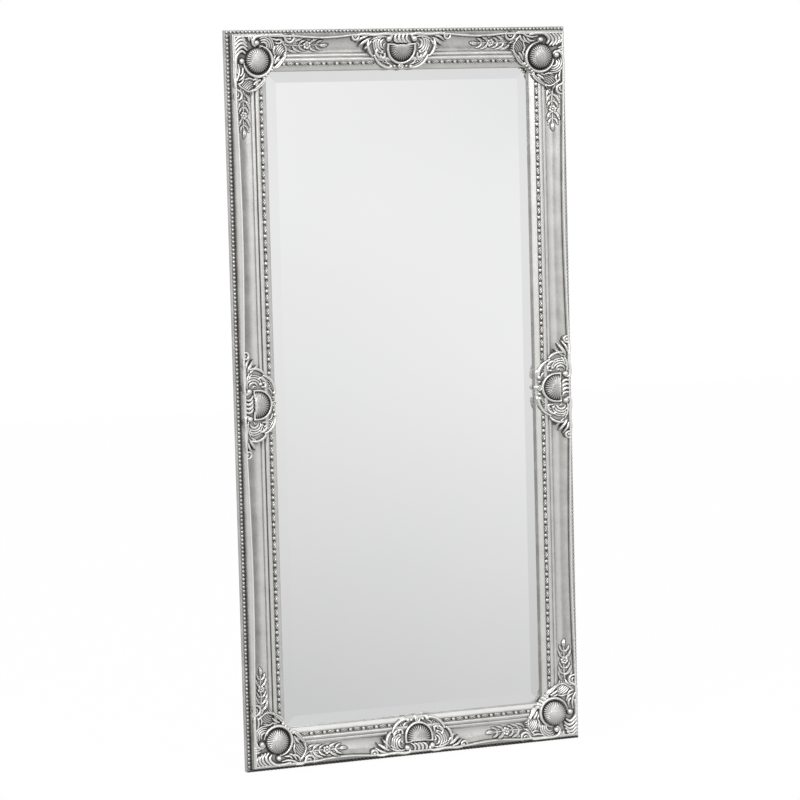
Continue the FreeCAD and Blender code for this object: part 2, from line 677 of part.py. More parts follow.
def corner_relief():
    """The carving beside the boss on the bottom rail's half of the corner."""
    centre = ("CornerBossIn", "CornerBossIn")
    pieces = []
    for across, up, share in CORNER_BAND_SHARES:
        pieces.append(
            lobe(*corner_place(across, up), f"BandLength * {share}", "BandWidth", "BandRise", BAND_DEGREES))
    pieces.append(hoop(*centre, "LipLeafRadius", "LipLeafWire", *LIP_LEAF_ARC))
    pieces.append(ball(*corner_place(*CORNER_BALL_SHARES), "VoluteBall"))
    for across, up, degrees in CORNER_LEAF_SHARES:
        pieces.append(lobe(*corner_place(across, up), *LEAF_LOBE, degrees))
    curl = corner_place(*CORNER_CURL_SHARES)
    pieces.append(hoop(*curl, "LeafCurl", "CurlWire", *LEAF_CURL_ARC))
    pieces.append(lobe(*curl, "LeafCurl", "LeafCurl", "CurlWire", 0))
    for degrees in SHELL_SIDE_DEGREES:
        pieces.append(shell_rib(degrees))
    return lay(fuse("corner_half_relief", pieces))


def corner_boss():
    """The boss on its drum and the middle rib of the shell, on a plane that falls along the diagonal."""
    centre = ("CornerBossIn", "CornerBossIn")
    drum = doc.addObject("Part::Cylinder", "corner_drum")
    bind(drum, Radius="RimRadius", Height="2 * BossLift")
    place(drum, centre[0], "2 * BossLift", centre[1], Rotation(ALONG_X, QUARTER_TURN))
    relief = fuse("corner_boss", [drum] + boss(centre) + [shell_rib(SHELL_MIDDLE_DEGREES, "BossLift")])
    return lay(relief, "FieldEdgeHeight + BossLift", Vector(-1, 0, 1), f"{FIELD_FALL} / sqrt(2)")


def corner():
    """The corner cartouche, in the frame's own place for the bottom left corner."""
    ground = field("corner_field", *corner_outline(), "(CornerReach + Overrun)")
    clear = outside_block("corner_clear", "CornerReach + 2 * Overrun")
    place(clear, "-Overrun", "-(FieldEdgeHeight + 2 * Overrun)", "-Overrun")
    half = fuse("corner_half", [ground, corner_relief()])
    knob = fuse("corner_knob", [
        ball(f"({RAIL_WIDTH})", f"({RAIL_WIDTH})", "CornerKnob", "-FieldSightHeight"),
        hoop(f"({RAIL_WIDTH})", f"({RAIL_WIDTH})", "CornerKnob", "KnobWire", y="-FieldSightHeight"),
    ])
    blank = fuse("corner_blank", [half, mirror("corner_other_half", half, DIAGONAL), corner_boss(), knob])
    place(blank, "-FrameWidth / 2", "-BumperThickness")
    clears = fuse("corner_clears", [clear, mirror("corner_clear_mirrored", clear, DIAGONAL)])
    place(clears, "-FrameWidth / 2", "-BumperThickness")
    bed = fuse("corner_bed", [nodes["bottom_rail"], nodes["left_stile"], clears])
    carved = cut("corner_in_place", blank, bed)
    return place(group("corner", [carved]), "FrameWidth / 2")


corner_master = corner()
for corner_name in CORNERS:
    copy = group(corner_name + "_corner", [corner_master])
    keep(in_corner(copy, corner_name, "0"), corner_name + "_corner_cartouche")


# Sprig of leaves in the cove: places are shares of its length, from the end by the corner cartouche
LEAFLET_SHARES = (0.07, 0.18, 0.29, 0.58, 0.69)
LEAFLET_DEGREES = 35
FLOWER_SHARE = 0.44
BUD_SHARE = 0.87
PETALS = 6


def along_sprig(share):
    return f"(SprigReach - SprigLength + SprigLength * {share})"


def sprig():
    """A stem with pairs of leaflets, a flower and a bud at its tip, laid in the cove of the bottom rail."""
    level = "-SprigHeight"
    pieces = [bar(along_sprig(0), "SprigIn", f"SprigLength * {BUD_SHARE}", "StemRadius",
                  Rotation(ALONG_Y, QUARTER_TURN), f"{level} + LeafletRise / 2")]
    for share in LEAFLET_SHARES:
        for sign, degrees, height in (
            ("+", LEAFLET_DEGREES, level),
            ("-", -LEAFLET_DEGREES, f"{level} - LeafletStep"),
        ):
            pieces.append(lobe(along_sprig(share), f"(SprigIn {sign} LeafletSpread)", "LeafletLength",
                               "LeafletWidth", "LeafletRise", degrees, height))
    flower = (along_sprig(FLOWER_SHARE), "SprigIn")
    for petal in range(PETALS):
        degrees = petal * FULL_TURN / PETALS
        pieces.append(ball(*polar(flower, "PetalSpread", degrees), "PetalRadius", f"{level} - PetalRise / 2"))
    pieces.append(ball(*flower, "PetalRise", f"{level} - PetalRise"))
    pieces.append(lobe(along_sprig(BUD_SHARE), "SprigIn", "BudLength", "BudWidth", "LeafletRise", 0, level))
    blank = place(fuse("sprig_blank", pieces), "-FrameWidth / 2", "-BumperThickness")
    return place(group("sprig", [cut("sprig_in_place", blank, nodes["bottom_rail"])]), "FrameWidth / 2")


sprig_master = sprig()
sprig_mirrored = mirror("sprig_mirrored", sprig_master, DIAGONAL)
for corner_name in CORNERS:
    for way, source in (("rail", sprig_master), ("stile", sprig_mirrored)):
        # A quarter turn brings the sprig of the bottom rail onto a stile
        turned_over = corner_name in ("bottom_right", "top_left")
        along = {"rail": "stile", "stile": "rail"}[way] if turned_over else way
        copy = group(f"{corner_name}_{along}_sprig_copy", [source])
        keep(in_corner(copy, corner_name, "0"), f"{corner_name}_{along}_sprig")


# Glass and its backing

def sheet_outline(sketch, inset="0"):
    edge = f"({GLASS_EDGE_IN} + {inset})"
    across = f"(FrameWidth / 2 - {edge})"
    rectangle(sketch, "-" + across, across, edge, f"(FrameHeight - {edge})")


def mirror_glass():
    """Plate glass with a wide polished bevel all round, silvered on its back."""
    body = new_body("mirror_glass")
    back = new_sketch(body, "glass_back", "XZ_Plane", GLASS_BACK)
    sheet_outline(back)
    pad(body, back, "GlassEdge")
    foot = new_sketch(body, "bevel_foot", "XZ_Plane", f"({GLASS_BACK} + GlassEdge)")
    sheet_outline(foot)
    top = new_sketch(body, "bevel_top", "XZ_Plane", f"({GLASS_BACK} + GlassThickness)")
    sheet_outline(top, "BevelWidth")
    loft(body, [foot, top])
    return place(body, y="-BumperThickness")


def backing_board():
    body = new_body("backing_board")
    outline = new_sketch(body, "board_outline", "XZ_Plane", BOARD_BACK)
    sheet_outline(outline)
    pad(body, outline, "BoardThickness")
    return place(body, y="-BumperThickness")


keep(mirror_glass(), "mirror_glass")
keep(backing_board(), "backing_board")


# Fasteners of the frame

def glazing_points():
    """Flat points driven into the rebate's wall, bearing on the back of the board."""
    body = new_body("glazing_point")
    plan = new_sketch(body, "point_plan", "XZ_Plane", f"({BOARD_BACK} - PointThickness)")
    out = f"({REBATE_EDGE} + PointLength - PointBite)"
    draw(plan, [
        ("-PointWidth / 2", REBATE_EDGE),
        ("0", f"({REBATE_EDGE} - PointBite)"),
        ("PointWidth / 2", REBATE_EDGE),
        ("PointWidth / 2", out), ("-PointWidth / 2", out),
    ])
    pad(body, plan, "PointThickness")
    rows = []
    for side in SIDES:
        span = f"({SIDE_LENGTHS[side]} - 2 * {REBATE_EDGE})"
        count = max(1, round(mm(f"{span} / PointPitch")))
        copies = [place(group("point_copy", [body]), f"({number} - ({count} - 1) / 2) * {span} / {count}")
                  for number in range(count)]
        rows.append(on_side(group("point_row", copies), side))
    return group("glazing_points_group", rows)


def v_nails():
    """Two V-nails in the back of each mitre, half in the rail and half in the stile."""
    body = new_body("v_nail")
    plan = new_sketch(body, "nail_plan", "XZ_Plane")
    draw(plan, [
        ("0", "0"), ("-NailLeg", "0"), ("-NailLeg", "-NailThickness"), ("-NailThickness", "-NailThickness"),
        ("-NailThickness", "-NailLeg"), ("0", "-NailLeg"),
    ])
    pad(body, plan, "NailDepth")
    places = ("NailOuterIn", "NailInnerIn")
    pair = [place(group("nail_copy", [body]), inward, "0", inward) for inward in places]
    corners = [in_corner(group("nail_pair", pair), corner) for corner in CORNERS]
    return group("v_nails_group", corners)


def wall_bumpers():
    bumpers = []
    for x in ("-BumperAcross", "BumperAcross"):
        for z in ("BumperIn", "FrameHeight - BumperIn"):
            bumper = doc.addObject("Part::Cone", "bumper")
            bind(bumper, Radius1="BumperRadius", Radius2="BumperFace", Height="BumperThickness")
            bumpers.append(place(bumper, x, "-BumperThickness", z, Rotation(ALONG_X, -QUARTER_TURN)))
    return group("wall_bumpers_group", bumpers)


keep(glazing_points(), "glazing_points")
keep(v_nails(), "v_nails")
keep(wall_bumpers(), "wall_bumpers")


# Strap hangers: each is drawn with its origin on the frame's back, under the axis of its D-ring
KNUCKLE_HEIGHT = "(RingWire + RingFit + StrapThickness)"
HANGER_PLACES = {
    "left": ("-(FrameWidth / 2 - HangerIn)", "(FrameHeight - HangerDrop)"),
    "right": ("(FrameWidth / 2 - HangerIn)", "(FrameHeight - HangerDrop)"),
}


def hanger_strap(side):
    """A steel strap with a rolled knuckle at its top and two screw holes."""
    body = new_body(side + "_hanger_strap")
    plate = new_sketch(body, side + "_strap_plate", "XZ_Plane")
    half, low = "(StrapWidth / 2)", "StrapLength"
    draw(plate, [
        (f"-{half}", "0"), (f"-{half}", f"-({low} - StrapCorner)"), (f"-({half} - StrapCorner)", f"-{low}"),
        (f"({half} - StrapCorner)", f"-{low}"), (half, f"-({low} - StrapCorner)"), (half, "0"),
    ], {1: f"-{QUARTER_RISE}", 3: f"-{QUARTER_RISE}"})
    pad(body, plate, "StrapThickness", reverse=True)
    knuckle = new_sketch(body, side + "_knuckle", "YZ_Plane")
    draw_circle(knuckle, KNUCKLE_HEIGHT, "0", KNUCKLE_HEIGHT)
    pad(body, knuckle, "StrapWidth", midplane=True)
    bore = new_sketch(body, side + "_bore", "YZ_Plane")
    draw_circle(bore, KNUCKLE_HEIGHT, "0", "(RingWire + RingFit)")
    pocket_through(body, bore)
    holes = new_sketch(body, side + "_strap_holes", "XZ_Plane")
    for down in ("-StrapHoleFirst", "-(StrapHoleFirst + StrapHolePitch)"):
        draw_circle(holes, "0", down, "StrapHole")
    pocket_through(body, holes)
    x, z = HANGER_PLACES[side]
    return place(body, x, "-BumperThickness", z)


def hanger_ring(side):
    """A D-ring of bent wire; its butt joint is hidden in the knuckle. It hangs down over its strap."""
    body = new_body(side + "_hanger_ring")
    path = new_sketch(body, side + "_ring_path", "XZ_Plane")
    half, far = "(RingWidth / 2)", "(RingDrop - RingWidth / 2)"
    right = [("RingButt / 2", "0"), (f"({half} - RingCorner)", "0"), (half, "-RingCorner"), (half, f"-{far}")]
    way = right + [("0", "-RingDrop")] + [(f"-{across}", down) for across, down in reversed(right)]
    corner_rise = f"(RingCorner * {QUARTER_ARC})"
    bow_rise = f"({half} * {QUARTER_ARC})"
    draw(path, way, {1: corner_rise, 3: bow_rise, 4: bow_rise, 6: corner_rise}, closed=False)
    wire = new_sketch(body, side + "_ring_wire", "YZ_Plane", "RingButt / 2")
    draw_circle(wire, "0", "0", "RingWire")
    doc.recompute()
    pipe = body.newObject("PartDesign::AdditivePipe", side + "_ring_pipe")
    pipe.Profile = wire
    pipe.Spine = (path, [f"Edge{number + 1}" for number in range(len(way) - 1)])
    x, z = HANGER_PLACES[side]
    place(body, x, f"{KNUCKLE_HEIGHT} - BumperThickness", z, Rotation(ALONG_X, 1))
    body.setExpression("Placement.Rotation.Angle", linked("asin((RingRest - RingFit) / RingDrop)"))
    return body


def hanger_screws():
    """Pan-head screws through both straps into the stiles."""
    body = new_body("hanger_screw")
    section = new_sketch(body, "screw_section", "XY_Plane")
    draw(section, [
        ("0", "-ScrewLength"), ("ScrewShank", "-(ScrewLength - 2 * ScrewShank)"), ("ScrewShank", "0"),
        ("ScrewHead", "0"), ("ScrewHead", "ScrewHeadHeight / 2"), ("ScrewHead / 2", "ScrewHeadHeight"),
        ("0", "ScrewHeadHeight"),
    ])
    turn = body.newObject("PartDesign::Revolution", "screw_turn")
    turn.Profile = section
    turn.ReferenceAxis = (section, ["V_Axis"])
    turn.Angle = FULL_TURN
    copies = []
    for side, (x, z) in HANGER_PLACES.items():
        for down in ("StrapHoleFirst", "(StrapHoleFirst + StrapHolePitch)"):
            copy = group("screw_copy", [body])
            copies.append(place(copy, x, "StrapThickness - BumperThickness", f"{z} - {down}"))
    return group("hanger_screws_group", copies)


for side_name in HANGER_PLACES:
    keep(hanger_strap(side_name), side_name + "_hanger_strap")
    keep(hanger_ring(side_name), side_name + "_hanger_ring")
keep(hanger_screws(), "hanger_screws")


def main():
    doc.recompute()
    for thing in doc.Objects:
        if {"Invalid", "Error"} & set(thing.State):
            raise RuntimeError(f"{thing.Name} failed: {thing.State}")
    os.makedirs("parts", exist_ok=True)
    for label, piece in nodes.items():
        shape = piece.Shape
        if shape.isNull() or not shape.isValid():
            raise RuntimeError(f"{label} has no valid shape")
        shape.exportStep(f"parts/{label}.step")
        box = shape.BoundBox
        spans = ((box.XMin, box.XMax), (box.YMin, box.YMax), (box.ZMin, box.ZMax))
        shown = " ".join(f"{axis} {low:.1f}..{high:.1f}" for axis, (low, high) in zip("xyz", spans))
        print(f"{label}: {len(shape.Solids)} solids, {shape.Volume:.0f} mm3, {shown}")


main()
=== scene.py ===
import math

import bpy
import numpy as np
from mathutils import Matrix, Vector

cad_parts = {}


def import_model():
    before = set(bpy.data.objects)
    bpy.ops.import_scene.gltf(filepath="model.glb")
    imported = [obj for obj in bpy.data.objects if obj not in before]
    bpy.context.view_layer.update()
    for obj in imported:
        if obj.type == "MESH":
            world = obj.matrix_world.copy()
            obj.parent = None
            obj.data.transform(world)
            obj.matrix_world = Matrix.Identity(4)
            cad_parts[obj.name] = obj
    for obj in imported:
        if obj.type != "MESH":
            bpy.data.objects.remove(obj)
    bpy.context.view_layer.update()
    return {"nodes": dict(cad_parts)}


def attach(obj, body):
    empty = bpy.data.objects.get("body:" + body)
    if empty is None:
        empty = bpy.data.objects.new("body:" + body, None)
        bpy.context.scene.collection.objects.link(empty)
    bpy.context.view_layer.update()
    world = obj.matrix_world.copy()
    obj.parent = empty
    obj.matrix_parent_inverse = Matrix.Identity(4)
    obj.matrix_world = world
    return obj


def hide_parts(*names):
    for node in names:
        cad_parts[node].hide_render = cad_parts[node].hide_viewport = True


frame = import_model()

# Lengths are millimetres until a mesh is made. An ornament or a rail is drawn with s along the rail, u
# inwards from the rail's outer edge and h above the frame's back.
MM = 0.001
WIDTH = 840.0
HEIGHT = 1700.0
BACK = 6.0
RAIL = 94.0
TAU = 2 * math.pi

# Place of each side's middle and of each corner, with the turn about Y that brings the bottom one there
SIDES = {
    "bottom": (0.0, 0.0, 0),
    "top": (0.0, HEIGHT, 180),
    "left": (-WIDTH / 2, HEIGHT / 2, 90),
    "right": (WIDTH / 2, HEIGHT / 2, -90),
}
CORNERS = {
    "bottom_left": (-WIDTH / 2, 0.0, 0),
    "bottom_right": (WIDTH / 2, 0.0, -90),
    "top_right": (WIDTH / 2, HEIGHT, 180),
    "top_left": (-WIDTH / 2, HEIGHT, 90),
}
RAILS = {
    "bottom": ("bottom_rail", WIDTH), "top": ("top_rail", WIDTH),
    "left": ("left_stile", HEIGHT), "right": ("right_stile", HEIGHT),
}


def to_row(points, place):
    """Points (s, u, h) of the side or the corner at a place, in the row frame."""
    x, z, degrees = place
    s, u, h = np.asarray(points, float).T
    cosine, sine = math.cos(math.radians(degrees)), math.sin(math.radians(degrees))
    return np.stack([x + cosine * s + sine * u, -(BACK + h), z - sine * s + cosine * u], 1)


def add(name, data):
    """A new object in the scene."""
    piece = bpy.data.objects.new(name, data)
    bpy.context.scene.collection.objects.link(piece)
    return piece


# Materials

def new_material(name):
    material = bpy.data.materials.new(name)
    material.use_nodes = True
    nodes, links = material.node_tree.nodes, material.node_tree.links
    return material, nodes, links, nodes["Principled BSDF"]


def noises(nodes, links, *kinds, stretch=(1.0, 1.0, 1.0)):
    """Noise over the object's own coordinates, for each kind given as scale, detail and roughness."""
    mapping = nodes.new("ShaderNodeMapping")
    mapping.inputs["Scale"].default_value = stretch
    links.new(nodes.new("ShaderNodeTexCoord").outputs["Object"], mapping.inputs["Vector"])
    outputs = []
    for kind in kinds:
        node = nodes.new("ShaderNodeTexNoise")
        for name, value in zip(("Scale", "Detail", "Roughness"), kind):
            node.inputs[name].default_value = value
        links.new(mapping.outputs["Vector"], node.inputs["Vector"])
        outputs.append(node.outputs["Fac"])
    return outputs


def maths(nodes, links, operation, *values, clamp=False):
    """A Math node over numbers and the outputs of other nodes."""
    node = nodes.new("ShaderNodeMath")
    node.operation = operation
    node.use_clamp = clamp
    for socket, value in zip(node.inputs, values):
        if isinstance(value, (int, float)):
            socket.default_value = value
        else:
            links.new(value, socket)
    return node.outputs[0]


def ramp(nodes, links, source, target, stops):
    """A Color Ramp from a source to a target. Each stop is a place and a colour, or a place and a grey."""
    node = nodes.new("ShaderNodeValToRGB")
    elements = node.color_ramp.elements
    while len(elements) < len(stops):
        elements.new(0.5)
    for element, (position, colour) in zip(elements, stops):
        element.position = position
        element.color = (*np.broadcast_to(colour, 3), 1)
    links.new(source, node.inputs["Fac"])
    links.new(node.outputs["Color"], target)


def bump(nodes, links, height, strength, distance, shader):
    node = nodes.new("ShaderNodeBump")
    node.inputs["Strength"].default_value = strength
    node.inputs["Distance"].default_value = distance
    links.new(height, node.inputs["Height"])
    links.new(node.outputs["Normal"], shader.inputs["Normal"])


# How far broad clouds and fine specks shift the patina, and how much of a wood's colour its pores give
WANDER, SPECK, PORE_SHARE = 0.34, 0.22, 0.25


def silver_leaf():
    """Warm silver leaf, rubbed bright on the crests, dark with patina in the hollows and with painted shade.
    """
    material, nodes, links, shader = new_material("silver_leaf")
    shader.inputs["Metallic"].default_value = 0.72
    patina_and_shade = nodes.new("ShaderNodeAttribute")
    patina_and_shade.attribute_name = "patina_and_shade"
    broad, fine, brush = noises(nodes, links, (26, 5, 0.6), (420, 4, 0.6), (1500, 3, 0.7))
    wander = maths(nodes, links, "MULTIPLY_ADD", broad, WANDER, -WANDER / 2)
    speck = maths(nodes, links, "MULTIPLY_ADD", fine, SPECK, -SPECK / 2)
    depth = maths(nodes, links, "ADD", patina_and_shade.outputs["Fac"], wander)
    depth = maths(nodes, links, "ADD", depth, speck, clamp=True)
    ramp(nodes, links, depth, shader.inputs["Base Color"], (
        (0.0, (0.80, 0.795, 0.775)), (0.30, (0.60, 0.595, 0.58)), (0.45, (0.42, 0.415, 0.40)),
        (0.66, (0.20, 0.197, 0.187)), (1.0, (0.04, 0.038, 0.034)),
    ))
    ramp(nodes, links, depth, shader.inputs["Roughness"], ((0.0, 0.30), (0.5, 0.40), (1.0, 0.66)))
    bump(nodes, links, brush, 0.16, 0.0006, shader)
    return material


def raw_wood(name, light, dark, stretch):
    material, nodes, links, shader = new_material(name)
    grain, pores = noises(nodes, links, (24, 6, 0.65), (160, 4, 0.6), stretch=stretch)
    pored = maths(nodes, links, "MULTIPLY", pores, PORE_SHARE)
    mixed = maths(nodes, links, "MULTIPLY_ADD", grain, 1 - PORE_SHARE, pored)
    ramp(nodes, links, mixed, shader.inputs["Base Color"], ((0.3, dark), (0.7, light)))
    shader.inputs["Roughness"].default_value = 0.72
    bump(nodes, links, mixed, 0.25, 0.0008, shader)
    return material


def mirror_silver():
    """Silvered plate glass: a clear mirror with the faint haze of a polished surface."""
    material, nodes, links, shader = new_material("mirror_silver")
    shader.inputs["Metallic"].default_value = 1.0
    haze, = noises(nodes, links, (3.0, 2, 0.5))
    ramp(nodes, links, haze, shader.inputs["Base Color"], (
        (0.3, (0.925, 0.93, 0.93)), (0.7, (0.94, 0.943, 0.94)),
    ))
    ramp(nodes, links, haze, shader.inputs["Roughness"], ((0.3, 0.02), (0.7, 0.035)))
    return material


def zinc():
    material, nodes, links, shader = new_material("zinc_plate")
    shader.inputs["Metallic"].default_value = 1.0
    spangle, = noises(nodes, links, (300, 3, 0.6))
    brush, = noises(nodes, links, (90, 4, 0.6), stretch=(1.0, 1.0, 14.0))
    ramp(nodes, links, spangle, shader.inputs["Base Color"], (
        (0.35, (0.50, 0.51, 0.53)), (0.65, (0.68, 0.69, 0.70)),
    ))
    ramp(nodes, links, brush, shader.inputs["Roughness"], ((0.3, 0.26), (0.7, 0.42)))
    bump(nodes, links, brush, 0.1, 0.0003, shader)
    return material


def rubber():
    material, nodes, links, shader = new_material("black_rubber")
    grit, = noises(nodes, links, (900, 4, 0.7))
    ramp(nodes, links, grit, shader.inputs["Base Color"], ((0.3, 0.018), (0.7, 0.04)))
    shader.inputs["Roughness"].default_value = 0.62
    bump(nodes, links, grit, 0.3, 0.0004, shader)
    return material


SILVER = silver_leaf()
RAIL_WOOD = raw_wood("raw_rail_wood", (0.56, 0.42, 0.27), (0.36, 0.25, 0.15), (2.0, 2.0, 2.0))
BOARD = raw_wood("hardboard", (0.33, 0.22, 0.13), (0.20, 0.125, 0.07), (9.0, 9.0, 9.0))
MIRROR = mirror_silver()
ZINC = zinc()
RUBBER = rubber()


# Meshes

def new_piece(node, ending, place, points, quads, patina_and_shade, ends=(), sharp=None, wood=None):
    """A mesh that stands for a CAD node, from points (s, u, h) of the side or the corner at a place.

    The darkness at each point, patina and painted shade, comes after the quads; ends are more faces. sharp is
    the angle in degrees from which edges stay hard, and wood says of each face whether it is bare wood.
    """
    name = node + ending
    mesh = bpy.data.meshes.new(name)
    faces = [tuple(face) for face in quads.tolist()] + [tuple(face) for face in ends]
    mesh.from_pydata((to_row(points, place) * MM).tolist(), [], faces)
    mesh.materials.append(SILVER)
    if wood is not None:
        mesh.materials.append(RAIL_WOOD)
        mesh.polygons.foreach_set("material_index", wood.astype(np.int32))
    mesh.polygons.foreach_set("use_smooth", np.ones(len(faces), bool))
    # The attribute holds patina and painted shade and light, which the silver leaf turns into colour
    layer = mesh.attributes.new("patina_and_shade", "FLOAT", "POINT")
    layer.data.foreach_set("value", np.clip(patina_and_shade, 0, 1).astype(np.float32))
    mesh.update()
    if sharp:
        mesh.set_sharp_from_angle(angle=math.radians(sharp))
    piece = add(name, mesh)
    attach(piece, "frame")
    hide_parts(node)


def ring_faces(rings, around):
    """Quads between rings of points, and the two faces that close the ends."""
    grid = np.arange(rings * around).reshape(rings, around)
    low, high = grid[:-1], grid[1:]
    quads = np.stack([low, np.roll(low, -1, 1), np.roll(high, -1, 1), high], -1).reshape(-1, 4)
    return quads, [grid[0][::-1].tolist(), grid[-1].tolist()]


def arc_points(start, end, rise, steps):
    """Points of an arc over a chord, without the first; rise is to the left of the chord."""
    start, end = np.array(start, float), np.array(end, float)
    chord = end - start
    half = np.linalg.norm(chord) / 2
    left = np.array([-chord[1], chord[0]]) / (2 * half)
    radius = (half**2 + rise**2) / (2 * rise)
    centre = (start + end) / 2 + left * (rise - radius)
    first = math.atan2(*(start - centre)[::-1])
    sweep = -2 * math.asin(min(1.0, half / abs(radius))) * math.copysign(1, rise)
    turn = first + sweep * np.arange(1, steps + 1) / steps
    return np.stack([centre[0] + abs(radius) * np.cos(turn), centre[1] + abs(radius) * np.sin(turn)], 1)


# Profile of the rail: its corners, numbers of the edges that start at them, and rise and steps of the arcs
PROFILE = [
    (0, 0), (0, 16), (9.2, 16), (10, 31), (13.3, 42.6), (16.6, 42.6), (18, 34), (54.5, 23), (64, 26.7),
    (74.3, 28), (74.3, 25), (83.2, 25), (83.2, 26), (93, 19.3), (94, 18.3), (94, 11), (87, 11), (87, 0),
]
PEARL_FLOOR, PEARL_WALL, LIP_RISE, LIP_TOP = 1, 2, 3, 4
COVE, FIRST_REED, SECOND_REED = 6, 7, 8
REEL_FLOOR, REEL_STEP, SIGHT_SLOPE, NOSE, SIGHT_EDGE, REBATE = 10, 11, 12, 13, 14, 15
PROFILE_ARCS = {LIP_TOP: (1.4, 6), COVE: (-5.8, 22), FIRST_REED: (3.2, 12), SECOND_REED: (3.2, 12)}
STRAIGHT_STEP, LINE_STEP = 5.0, 0.25
LINE = np.arange(0, RAIL + 0.01, LINE_STEP)
LIP_START, LIP_CREST, LIP_END, COVE_END = 10.0, 13.3, 18.0, 54.5
CREST_REACH, CORNER_REACH, SWELL = 119.0, 154.0, 5.0
PEARL_SEAT = 16.0


def profile():
    """Dense points round the profile, each with its edge's number."""
    points, edges = [PROFILE[0]], [0]
    for number, start in enumerate(PROFILE):
        end = PROFILE[(number + 1) % len(PROFILE)]
        if number in PROFILE_ARCS:
            run = arc_points(start, end, *PROFILE_ARCS[number])
        else:
            count = max(1, int(math.dist(start, end) / STRAIGHT_STEP))
            run = [np.array(start) + (np.array(end) - start) * step / count for step in range(1, count + 1)]
        points += [tuple(point) for point in run]
        edges += [number] * len(run)
    return np.array(points[:-1]), np.array(edges[:-1])


POINTS, EDGES = profile()
FRONT = POINTS[(EDGES >= PEARL_FLOOR) & (EDGES <= NOSE)]


def surface_height(u):
    """Height of the rail's front at a distance in from its outer edge."""
    return np.interp(u, FRONT[:, 0], FRONT[:, 1])


def blur(grid, radius, step):
    """A soft average over a radius, in millimetres, of a grid with a given step."""
    reach = int(3 * radius / step) + 1
    kernel = np.exp(-0.5 * (np.arange(-reach, reach + 1) * step / radius) ** 2)
    kernel /= kernel.sum()
    for axis in range(grid.ndim):
        padded = np.concatenate([
            np.repeat(np.take(grid, [0], axis), reach, axis), grid,
            np.repeat(np.take(grid, [-1], axis), reach, axis)], axis)
        grid = np.apply_along_axis(lambda line: np.convolve(line, kernel, "valid"), axis, padded)
    return grid


LEVEL_HOLLOW, WIDE_REACH = 0.33, 5.0


def hollow_of(heights, step, reach=1.6, near_share=0.30, wide_share=0.055):
    """How much of a hollow each point lies in, from 0 on a crest to 1 in a deep groove."""
    near = blur(heights, reach, step) - heights
    wide = blur(heights, WIDE_REACH, step) - heights
    return np.clip(LEVEL_HOLLOW + near_share * near + wide_share * wide, 0, 1)


def swell_at(s, length):
    """How far the lip stands inwards at a place along a rail."""
    share = (np.abs(s) - CREST_REACH) / (length / 2 - CORNER_REACH - CREST_REACH)
    return SWELL * np.sin(np.pi * np.clip(share, 0, 1))


def swell_share(u):
    """How much of the lip's swelling each place across the rail follows."""
    return np.interp(u, [LIP_START, LIP_CREST, LIP_END, COVE_END], [0, 1, 1, 0])


def swelled_height(s, u, length):
    """Height of a rail's front over a grid of places, where s is the distance from the frame's corner."""
    height, share = surface_height(LINE), swell_share(LINE)
    swell = swell_at(length / 2 - s[:, 0], length)
    return np.array([np.interp(across, LINE + much * share, height) for across, much in zip(u, swell)])


REEL_IN, REEL_HEIGHT = 78.75, 28.0
# How dark patina and painted shade lie on each side, set per side for how the light falls there: in the
# pearls' seat, and outside and inside the beads and spindles; on the lip's outer face; at the middle and the
# foot of the sight slope
SEAT_PATINA_AND_SHADE = {
    "bottom": (0.72, 0.7, 0.5), "top": (0.34, 0.45, 0.25),
    "left": (0.6, 0.5, 0.3), "right": (0.72, 0.95, 0.3),
}
LIP_PATINA_AND_SHADE = {"bottom": 0.42, "top": 0.6, "left": 0.24, "right": 0.42}
SLOPE_PATINA_AND_LIGHT = {"bottom": (0.1, 0.1), "top": (0.1, 0.1), "left": (0.202, 0.3), "right": (0.202, 0.3)}
# Painted light and shade across the cove: how much darker or lighter each side is at places across it
COVE_PLACES = (20, 28, 34, 40, 46, 53)
COVE_PAINTED_LIGHT = {
    "bottom": (0.0, 0.12, 0.08, -0.1, -0.13, -0.15), "top": (0.0, -0.12, -0.1, 0.04, 0.24, 0.08),
    "left": (0.08, 0.14, 0.12, 0.0, -0.1, -0.06), "right": (0.0, 0.1, 0.12, -0.1, -0.14, -0.1),
}
# The same patina on every side for the outer face and the pearls' wall; a painted shadow line in the crevice
# between the reeds, only on the left, and a painted shadow along the sight edge, only on the right
OUTER_PATINA, WALL_PATINA, CREVICE_SHADOW, EDGE_SHADOW = 0.42, 0.46, 0.85, 0.55
SEAT_END, CREVICE, CREVICE_HALF = 9.5, 62.8, 1.5
# Reach of the near hollows on the rail, and how much near and wide hollows count
RAIL_HOLLOWS = (1.1, 0.28, 0.015)
RAIL_HARD, SWELL_STEPS = 28, 40


